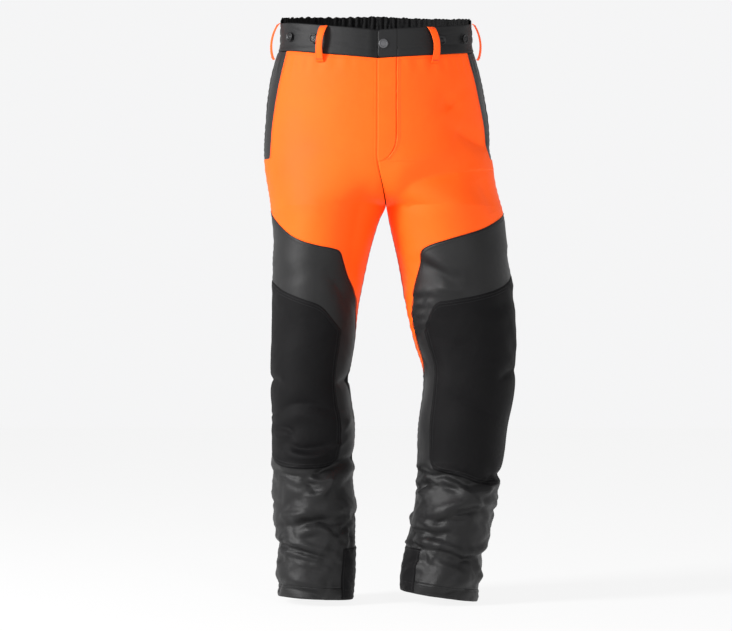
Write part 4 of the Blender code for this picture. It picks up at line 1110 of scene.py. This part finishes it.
def band_sheet(name, nodes, columns, rows, depth_at, thickness, material, rise_at=None):
    """A stretch of waistband: columns are (side, t), depth_at and rise_at shift its points (u, v)."""
    share = np.linspace(0.0, 1.0, rows)
    centre = np.array([band_point(side, t, 0.5) for side, t in columns])
    u = np.concatenate(([0.0], np.cumsum(np.linalg.norm(np.diff(centre, axis=0), axis=-1))))
    grid_u = u[:, None] + 0.0 * share
    grid_v = 0.0 * u[:, None] + share * BAND_HEIGHT
    depth = depth_at(grid_u, grid_v)
    points = np.array([
        [band_point(side, t, s, depth[i, j]) for j, s in enumerate(share)]
        for i, (side, t) in enumerate(columns)
    ])
    if rise_at is not None:
        points[..., 2] += rise_at(grid_u, grid_v)
    flip = bool(np.cross(points[1, 0] - points[0, 0], (0, 0, 1)) @ (points[0, 0] * (1, 1, 0)) < 0)
    uvs = np.stack((grid_u, grid_v), -1)
    made = mesh_object(name, points.reshape(-1, 3), grid_faces(len(columns), rows, flip=flip), material,
                       uvs.reshape(-1, 2))
    thicken(made, thickness)
    return finish_piece(made, nodes)


def rim_dip(v, depth=0.9 * MM, reach=0.0022):
    """Extra depth at the band's lower and upper edges, where the cloth turns over."""
    low = 1.0 - smooth(0.0, reach, v)
    high = 1.0 - smooth(0.0, reach, BAND_HEIGHT - v)
    grooves = np.exp(-(((v - 0.0042) / 0.0009) ** 2)) + np.exp(-(((v - BAND_HEIGHT + 0.0042) / 0.0009) ** 2))
    return depth * np.maximum(low, high) + 0.22 * MM * grooves


def front_bands():
    """Right and left front waistbands; the right one runs on under the end tab that the snap closes."""
    right = [(RIGHT, t) for t in np.linspace(BAND_SPLIT - 0.001, 0.012, 150)]
    right += [(RIGHT, 0.004)] + [(LEFT, float(t_at(LEFT, 0.99, x))) for x in np.linspace(0.004, 0.032, 12)]

    def right_depth(u, v):
        under = smooth(u.max() - 0.048, u.max() - 0.030, u) * 5.6 * MM
        return -1.0 * MM + rim_dip(v) + band_creases(u, v, 3) + under

    band_sheet("waistband_cloth_front_right", ("waistband_front_right",), right, 30, right_depth, 2.4 * MM,
               "band")

    first = float(t_at(LEFT, 0.99, HINGE_OFFSET + 0.3 * MM))
    left = [(LEFT, t) for t in np.linspace(first, BAND_SPLIT - 0.001, 130)]
    band_sheet("waistband_cloth_front_left", ("waistband_front_left",), left, 30,
               lambda u, v: -1.0 * MM + rim_dip(v) + band_creases(u, v, 8), 2.4 * MM, "band")


def end_tab():
    """The band's overlapping end, its tip rounded at the corners."""
    offsets = np.concatenate((np.linspace(0.0, 0.004, 8), np.linspace(0.005, FLY_WIDTH + 0.6 * MM, 24)))
    rows = 30
    share = np.linspace(0.0, 1.0, rows)
    points, uvs = [], []
    for offset in offsets:
        seam = float(seam_by_offset(offset))
        cut = 0.006 * (1.0 - math.sqrt(1.0 - max(0.0, 1.0 - offset / 0.008) ** 2))
        z = seam + 0.3 * MM + cut + (BAND_HEIGHT - 2.0 * cut) * share
        rim = 0.8 * MM * (1.0 - smooth(0.0, 0.0022, offset))
        point_depth = -1.2 * MM + np.maximum(rim_dip(share * BAND_HEIGHT), rim)
        t = t_at(LEFT, z, offset + 0.0006)
        points.append(layer(LEFT, t, z, point_depth) - WAIST_CENTRE)
        uvs.append(np.stack((offset + 0.0 * share, share * BAND_HEIGHT), -1))
    made = mesh_object("waistband_cloth_end_tab", np.array(points).reshape(-1, 3),
                       grid_faces(len(offsets), rows), "band", np.array(uvs).reshape(-1, 2))
    thicken(made, 2.0 * MM)
    finish_piece(made, ("waistband_end_tab",), "fly")


def gathers(u, v, seed, rows=4):
    """Vertical gathers of an elasticated band, pinched on its level rows of stitching."""
    rng = np.random.default_rng(seed)
    spacing = BAND_HEIGHT / rows
    made = np.zeros(u.shape)
    for k in range(rows):
        middle = (k + 0.5) * spacing
        weight = np.exp(-(((v - middle) / (0.55 * spacing)) ** 2))
        swing = np.zeros(u.shape)
        for _ in range(5):
            wavelength = rng.uniform(0.0065, 0.0130)
            phase = rng.uniform(0, 6.3)
            warp = 2.0 * np.sin(u * rng.uniform(15, 45))
            swing += np.sin(2 * math.pi * u / wavelength + phase + warp)
        made += weight * swing / 5.0
    common = np.zeros(u.shape)
    for _ in range(4):
        wavelength = rng.uniform(0.008, 0.016)
        phase = rng.uniform(0, 6.3)
        warp = 2.0 * np.sin(u * rng.uniform(12, 30))
        common += np.sin(2 * math.pi * u / wavelength + phase + warp)
    pinch = sum(np.exp(-(((v - k * spacing) / 0.0012) ** 2)) for k in range(1, rows))
    return 1.9 * MM * made + 1.0 * MM * common / 4.0 * 2.0 + 0.9 * MM * pinch


def back_band():
    """Gathered back band and the elastic inside it."""
    shares = np.linspace(BAND_SPLIT, 0.9996, 330)
    around = [(RIGHT, t) for t in shares] + [(LEFT, t) for t in shares[::-1]]

    def outer_depth(u, v):
        ends = np.minimum(smooth(0.0, 0.012, u), smooth(0.0, 0.012, u.max() - u))
        return -0.2 * MM + rim_dip(v, 0.8 * MM) + gathers(u, v, 2) * ends

    def scallops(u, v):
        """The gathers make the top edge wave, and it stands higher on the right than on the left."""
        wave = np.sin(2.0 * math.pi * u / 0.0135 + 2.0 * np.sin(u * 23.0))
        wave += 0.7 * np.sin(2.0 * math.pi * u / 0.021)
        tilt = 2.6 * smooth(0.02, 0.12, u) * smooth(0.40, 0.22, u) - 1.4 * smooth(0.26, 0.40, u)
        ends = np.minimum(smooth(0.0, 0.02, u), smooth(0.0, 0.02, u.max() - u))
        return (0.9 * wave + tilt) * MM * smooth(0.45, 1.0, v / BAND_HEIGHT) * ends

    band_sheet("waistband_cloth_back", ("waistband_back",), around, 34, outer_depth, 1.1 * MM,
               "elastic", scallops)

    def inner_depth(u, v):
        ends = np.minimum(smooth(0.0, 0.012, u), smooth(0.0, 0.012, u.max() - u))
        return 4.4 * MM + gathers(u, v, 9) * 0.8 * ends

    shares = np.linspace(BAND_SPLIT + 0.02, 0.9996, 300)
    around = [(RIGHT, t) for t in shares] + [(LEFT, t) for t in shares[::-1]]
    band_sheet("waist_elastic_cloth", ("waist_elastic",), around, 30, inner_depth, 1.2 * MM,
               "elastic", lambda u, v: scallops(u + 0.012, v))


def band_frame(side, t):
    """Point, outward normal and tangent on the band's face at mid height."""
    z = float(seam_height(side, t)) + 0.5 * float(band_height(t))
    normal = outward(side, t, z)
    tangent = np.cross((0.0, 0.0, 1.0), normal)
    return layer(side, t, z, -1.0 * MM) - WAIST_CENTRE, normal, tangent / np.linalg.norm(tangent)


LOOP_WIDTH = 0.0135
LOOP_BOW = 0.0096


def belt_loop(node, side, t, sway=0.0, kink=0.0, twist=0.0):
    """A tape folded from three layers, bowed off the band, its ends turned under and tacked."""
    seam = float(seam_height(side, t))
    foot = layer(side, t, seam - 0.015, -0.9 * MM) - WAIST_CENTRE
    head = layer(side, t, seam + float(band_height(t)) - 0.001, -2.1 * MM) - WAIST_CENTRE
    _, normal, tangent = band_frame(side, t)
    s = np.linspace(0.0, 1.0, 40)[:, None]
    across = np.linspace(-1.0, 1.0, 11)[None, :]
    bow = LOOP_BOW * np.sin(math.pi * s) ** 0.62 * (1.0 + kink * (s - 0.5))
    line = foot + (head - foot) * s + normal * bow + tangent * sway * np.sin(math.pi * s)
    narrow = 1.0 - 0.10 * np.sin(math.pi * s) ** 2
    groove = 0.25 * MM * np.exp(-(((np.abs(across) - 0.78) / 0.08) ** 2))
    crown = 0.5 * MM * (1.0 - across**2) * np.sin(math.pi * s) - groove
    across_way = tangent + normal * twist
    points = line[:, None, :] + across_way * (0.5 * LOOP_WIDTH * across * narrow)[..., None]
    points = points + normal * (crown + 1.5 * MM)[..., None]
    uvs = np.stack((0.01 * across + 0.0 * s, 0.06 * s + 0.0 * across), -1)
    made = mesh_object(f"{node}_tape", points.reshape(-1, 3), grid_faces(40, 11, flip=True), "orange",
                       uvs.reshape(-1, 2))
    thicken(made, 1.5 * MM)
    soft = made.modifiers.new("rounding", "BEVEL")
    soft.width = 0.35 * MM
    soft.segments = 2
    soft.limit_method = "ANGLE"
    finish_piece(made, (node,))
    normals = np.tile(normal, (40, 1))
    for edge in (1, 9):
        stitches("orange", points[2:-2, edge], normals[2:-2])
    for row, lift in ((3, 0.1), (37, 0.1)):
        bar = points[row] + normal * lift * MM
        for k in range(3):
            stitches("orange", bar + (head - foot) / np.linalg.norm(head - foot) * (k - 1) * 0.0006,
                     np.tile(normal, (11, 1)), spacing=0.0011, length=0.0013, radius=0.0004)


def lathe(name, profile, centre, normal, material, node, body="trousers", steps=40):
    """A turned piece from (radius, height) millimetres about the normal through centre."""
    normal = Vector(normal).normalized()
    turn = normal.to_track_quat("Z", "Y").to_matrix()
    points, faces = [], []
    for radius, height in profile:
        for k in range(steps):
            a = 2.0 * math.pi * k / steps
            local = Vector((radius * MM * math.cos(a), radius * MM * math.sin(a), height * MM))
            points.append(Vector(centre) + turn @ local)
    for i in range(len(profile) - 1):
        for k in range(steps):
            n = (k + 1) % steps
            faces.append((i * steps + k, i * steps + n, (i + 1) * steps + n, (i + 1) * steps + k))
    faces.append([k for k in reversed(range(steps))])
    faces.append([(len(profile) - 1) * steps + k for k in range(steps)])
    made = mesh_object(name, points, faces, material)
    made.data.set_sharp_from_angle(angle=math.radians(50))
    return finish_piece(made, (node,), body)


BUTTON_RIM = (
    (2.2, 0.0), (2.2, 2.3), (7.0, 2.4), (8.1, 2.7), (8.5, 3.3), (8.5, 3.9), (8.2, 4.4), (7.6, 4.7),
    (6.9, 4.7), (6.2, 4.3), (5.4, 3.7), (4.6, 3.4), (3.6, 3.3), (2.9, 3.5), (2.5, 3.9), (2.0, 4.1),
    (1.2, 4.15), (0.3, 4.15),
)
SNAP_RIM = (
    (1.3, -3.0), (1.3, -0.1), (8.2, -0.1), (8.5, 0.2), (8.5, 0.7), (8.1, 1.2), (7.5, 1.55), (6.8, 1.7),
    (6.1, 1.65),
    (5.5, 1.35), (5.0, 1.15), (4.0, 1.05), (2.0, 1.0), (0.3, 1.0),
)


def brace_button(node, side, t):
    """A dished tack button."""
    centre, normal, _ = band_frame(side, t)
    lathe(f"{node}_head", BUTTON_RIM, centre + normal * 0.6 * MM, normal, "button", node)


def fly():
    """The flap over the zip: its stitched edge curves to the centre at the foot."""
    columns = np.concatenate((np.linspace(0.0, 0.004, 6), np.linspace(0.006, FLY_WIDTH - 0.004, 12),
                              np.linspace(FLY_WIDTH - 0.003, FLY_WIDTH, 5)))
    ends = (np.linspace(0.0, 0.02, 5), np.linspace(0.98, 1.0, 5))
    share = np.concatenate((ends[0], np.linspace(0.04, 0.96, 50), ends[1]))
    points, uvs = [], []
    for offset in columns:
        part = min(1.0, offset / FLY_WIDTH)
        low = FLY_LOW + FLY_CURVE * (1.0 - math.sqrt(1.0 - part * part))
        seam = float(seam_by_offset(offset)) - 0.2 * MM
        z = low + (seam - low) * share
        t = t_at(LEFT, z, offset)
        edge = np.minimum(np.minimum(z - low, seam - z), 0.0 * z + offset)
        side_roll = (FLY_WIDTH - offset) if part > 0.5 else 1.0
        turned = 0.5 * MM * (1 - smooth(0.0, 0.002, side_roll))
        deep = np.maximum(seam_roll(np.maximum(edge, 0.0), 0.7 * MM), turned)
        ripple = 0.35 * MM * np.sin(z * 160.0 + 2.0 * np.sin(z * 55.0)) * smooth(0.0, 0.02, offset)
        points.append(cloth_point(LEFT, t, z, deep + ripple - 0.2 * MM))
        uvs.append(np.stack((offset + 0.0 * z, z), -1))
    made = mesh_object("fly_flap_cloth", np.array(points).reshape(-1, 3),
                       grid_faces(len(columns), len(share)), "orange", np.array(uvs).reshape(-1, 2))
    thicken(made, 1.0 * MM)
    finish_piece(made, ("fly_flap",), "fly")

    z = np.linspace(0.965, FLY_LOW + 0.002, 150)
    for outside in (0.0035, 0.0069):
        offset = np.maximum(fly_outline(z) + outside, 0.001)
        stitch_row("orange", LEFT, t_at(LEFT, z, offset), z, depth=-0.05 * MM)


def snap():
    """The cap of the press snap on the end tab."""
    z = float(seam_by_offset(SNAP_OFFSET)) + 0.5 * BAND_HEIGHT
    t = t_at(LEFT, z, SNAP_OFFSET)
    normal = outward(LEFT, t, z)
    face = layer(LEFT, t, z, -1.2 * MM) - WAIST_CENTRE
    lathe("snap_cap_disc", SNAP_RIM, face + normal * 0.3 * MM, normal,
          "snap", "snap_cap", "fly")


# ---------------------------------------------------------------- pockets on the back

POCKET_SHARES = (0.655, 0.905)
POCKET_HEIGHTS = (0.752, 0.896)
FLAP_HEIGHTS = (0.842, 0.908)
FLAP_SNAP_SHARE = 0.780


def back_pockets():
    """Patch pocket with its flap on the right seat, and the ruler pocket on the thigh."""
    first, last = POCKET_SHARES
    low, high = POCKET_HEIGHTS

    def edge(t):
        return np.abs(2.0 * (t - first) / (last - first) - 1.0)

    panel("back_pocket_cloth", ("back_pocket",), RIGHT, first, last,
          lambda t: low + 0.022 * np.maximum(0.0, edge(t) - 0.70) / 0.30, lambda t: high + 0.0 * t,
          "back", depth=-1.7 * MM, thickness=1.2 * MM)
    flap = panel("pocket_flap_cloth", ("pocket_flap",), RIGHT, first - 0.006, last + 0.006,
                 lambda t: FLAP_HEIGHTS[0] + 0.012 * edge(t), lambda t: FLAP_HEIGHTS[1] + 0.0 * t,
                 "back", depth=-4.9 * MM, thickness=1.3 * MM)
    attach(flap, "pocket_lid")
    t, z = FLAP_SNAP_SHARE, 0.860
    normal = outward(RIGHT, t, z)
    face = cloth_point(RIGHT, t, z, -5.0 * MM)
    cap = ((0.5, 0.0), (6.0, 0.1), (6.1, 0.5), (5.6, 1.1), (4.9, 1.3), (4.3, 1.0), (2.0, 0.9), (0.3, 0.9))
    lathe("flap_snap_disc", cap, face + normal * 0.1 * MM, normal,
          "snap", "flap_snap_cap", "pocket_lid")
    panel("ruler_pocket_cloth", ("ruler_pocket",), RIGHT, 0.545, 0.665,
          lambda t: 0.500 + 0.0 * t, lambda t: 0.690 + 0.0 * t, "back",
          depth=-1.7 * MM, thickness=1.2 * MM)
    for inset in (0.003, 0.008):
        z = np.linspace(low + 0.022, high - 0.004, 60)
        for share, turn in ((first, 1), (last, -1)):
            stitch_row("dark", RIGHT, share + turn * inset / 0.62 + 0.0 * z, z, depth=-1.75 * MM)
        t = np.linspace(first + 0.035, last - 0.035, 60)
        stitch_row("dark", RIGHT, t, low + inset + 0.0 * t, depth=-1.75 * MM)
        z = np.linspace(0.504, 0.686, 60)
        for share, turn in ((0.545, 1), (0.665, -1)):
            stitch_row("dark", RIGHT, share + turn * inset / 0.5 + 0.0 * z, z, depth=-1.75 * MM)
    t = np.linspace(0.550, 0.660, 40)
    stitch_row("dark", RIGHT, t, 0.503 + 0.0 * t, depth=-1.75 * MM)
    t = np.linspace(0.550, 0.660, 40)
    stitch_row("dark", RIGHT, t, 0.680 + 0.0 * t, depth=-1.75 * MM)


# ---------------------------------------------------------------- build

for side in (RIGHT, LEFT):
    which = SIDE_NAMES[side]
    front_upper(side)
    leg_panels(side)
    inner_layers(side)
    piping(side)
    seam_stitches(side)
    for place, offset in (("outer", OUTER_BUTTON_OFFSET), ("inner", INNER_BUTTON_OFFSET)):
        brace_button(f"brace_button_{place}_{which}", side, float(t_at(side, 1.0, offset)))
    brace_button(f"brace_button_back_{which}", side, BACK_BUTTON_SHARE)
    front_share = float(t_at(side, 1.0, FRONT_LOOP_OFFSET))
    belt_loop(f"belt_loop_front_{which}", side, front_share, sway=0.004 if side == LEFT else -0.002, kink=0.4)
    belt_loop(f"belt_loop_side_{which}", side, SIDE_LOOP_SHARE, twist=0.16 * side)
    belt_loop(f"belt_loop_back_{which}", side, BACK_LOOP_SHARE)
belt_loop("belt_loop_back_centre", RIGHT, 0.9995)
front_bands()
end_tab()
back_band()
fly()
snap()
back_pockets()

for key, (points, faces) in THREADS.items():
    made = mesh_object(f"stitching_{key}", points, faces, f"thread_{key}")
    finish_piece(made, ())


for made in [made for made in bpy.data.objects if made.name.endswith("_tape")]:
    place = made.name.removeprefix("belt_loop_").removesuffix("_tape")

CARRIED = {
    "fly_shield": "lining", "zip_tape_left": "lining", "zip_tape_right": "lining",
    "zip_chain_left": "plastic", "zip_chain_right": "plastic", "zip_bottom_stop": "plastic",
    "zip_slider": "slider", "zip_pull": "slider", "snap_socket": "snap", "snap_stud": "snap",
    "pocket_snap_stud": "snap",
}
for node, finish in CARRIED.items():
    body = frame["nodes"][node]
    body.data.materials.clear()
    body.data.materials.append(MATERIALS[finish])

# ---------------------------------------------------------------- studio


FLOOR_GLOW = 0.872  # light through the paper from below, as on a lit product table


def plain_material(name, colour, roughness, glow):
    """Matt studio paper with a faint tone."""
    nodes = Nodes(name)
    place = nodes.add("ShaderNodeTexCoord").outputs["Object"]
    tone = nodes.noise(place, 1.5, 2.0)
    darker = tuple(0.985 * c for c in colour)
    nodes.put(nodes.shader.inputs["Base Color"], nodes.ramp(tone, (0.3, darker), (0.7, colour)))
    nodes.shader.inputs["Roughness"].default_value = roughness
    nodes.shader.inputs["Specular IOR Level"].default_value = 0.0
    nodes.shader.inputs["Emission Color"].default_value = (1.0, 1.0, 1.0, 1.0)
    nodes.shader.inputs["Emission Strength"].default_value = glow
    return nodes.material


bpy.context.scene.view_settings.view_transform = "Standard"

PALE = (0.913, 0.913, 0.918)  # the studio's wall, all round
CEILING = (0.16, 0.16, 0.165)
PALE_BAND = (0.24, 0.50)  # sines of the angles between which the wall fades into the ceiling
FLOOR_SIZE = 7.0
floor_height = cad_bounds[0].z - 0.002
corners = [(x * FLOOR_SIZE, y * FLOOR_SIZE, floor_height) for x, y in ((-1, -1), (1, -1), (1, 1), (-1, 1))]
floor_mesh = bpy.data.meshes.new("floor")
floor_mesh.from_pydata(corners, [], [(0, 1, 2, 3)])
floor_mesh.materials.append(plain_material("floor_paper", (0.12, 0.12, 0.12), 0.9, FLOOR_GLOW))
floor = bpy.data.objects.new("floor", floor_mesh)
bpy.context.scene.collection.objects.link(floor)

world = bpy.data.worlds.new("studio")
bpy.context.scene.world = world
world.use_nodes = True
sky = world.node_tree
direction = sky.nodes.new("ShaderNodeTexCoord")
parts = sky.nodes.new("ShaderNodeSeparateXYZ")
height = sky.nodes.new("ShaderNodeMath")
height.operation = "ABSOLUTE"
fade = sky.nodes.new("ShaderNodeValToRGB")
fade.color_ramp.elements[0].position = PALE_BAND[0]
fade.color_ramp.elements[0].color = (*PALE, 1.0)
fade.color_ramp.elements[1].position = PALE_BAND[1]
fade.color_ramp.elements[1].color = (*CEILING, 1.0)
sky.links.new(direction.outputs["Generated"], parts.inputs[0])
sky.links.new(parts.outputs[2], height.inputs[0])
sky.links.new(height.outputs[0], fade.inputs[0])
sky.links.new(fade.outputs[0], sky.nodes["Background"].inputs["Color"])


def area_light(name, place, target, size, power, colour=(1.0, 1.0, 1.0)):
    """A soft box aimed at a target."""
    data = bpy.data.lights.new(name, "AREA")
    data.shape = "RECTANGLE"
    data.size, data.size_y = size
    data.energy = power
    data.color = colour
    lamp = bpy.data.objects.new(name, data)
    lamp.location = place
    lamp.rotation_euler = (Vector(target) - Vector(place)).to_track_quat("-Z", "Y").to_euler()
    bpy.context.scene.collection.objects.link(lamp)
    return lamp


area_light("key", (-3.1, -1.7, 0.8), (0.0, 0.0, -0.45), (0.9, 1.6), 200.0)
area_light("fill", (1.2, -3.6, 0.6), (0.0, 0.0, -0.5), (0.8, 1.2), 28.0)

camera_data = bpy.data.cameras.new("camera")
camera_data.sensor_width = 36.0
camera_data.lens = 123.0
camera = bpy.data.objects.new("camera", camera_data)
camera.location = (-0.0201, -4.5, -0.5014)
camera.rotation_euler = (math.radians(90.0), 0.0, 0.0)
bpy.context.scene.collection.objects.link(camera)
bpy.context.scene.camera = camera
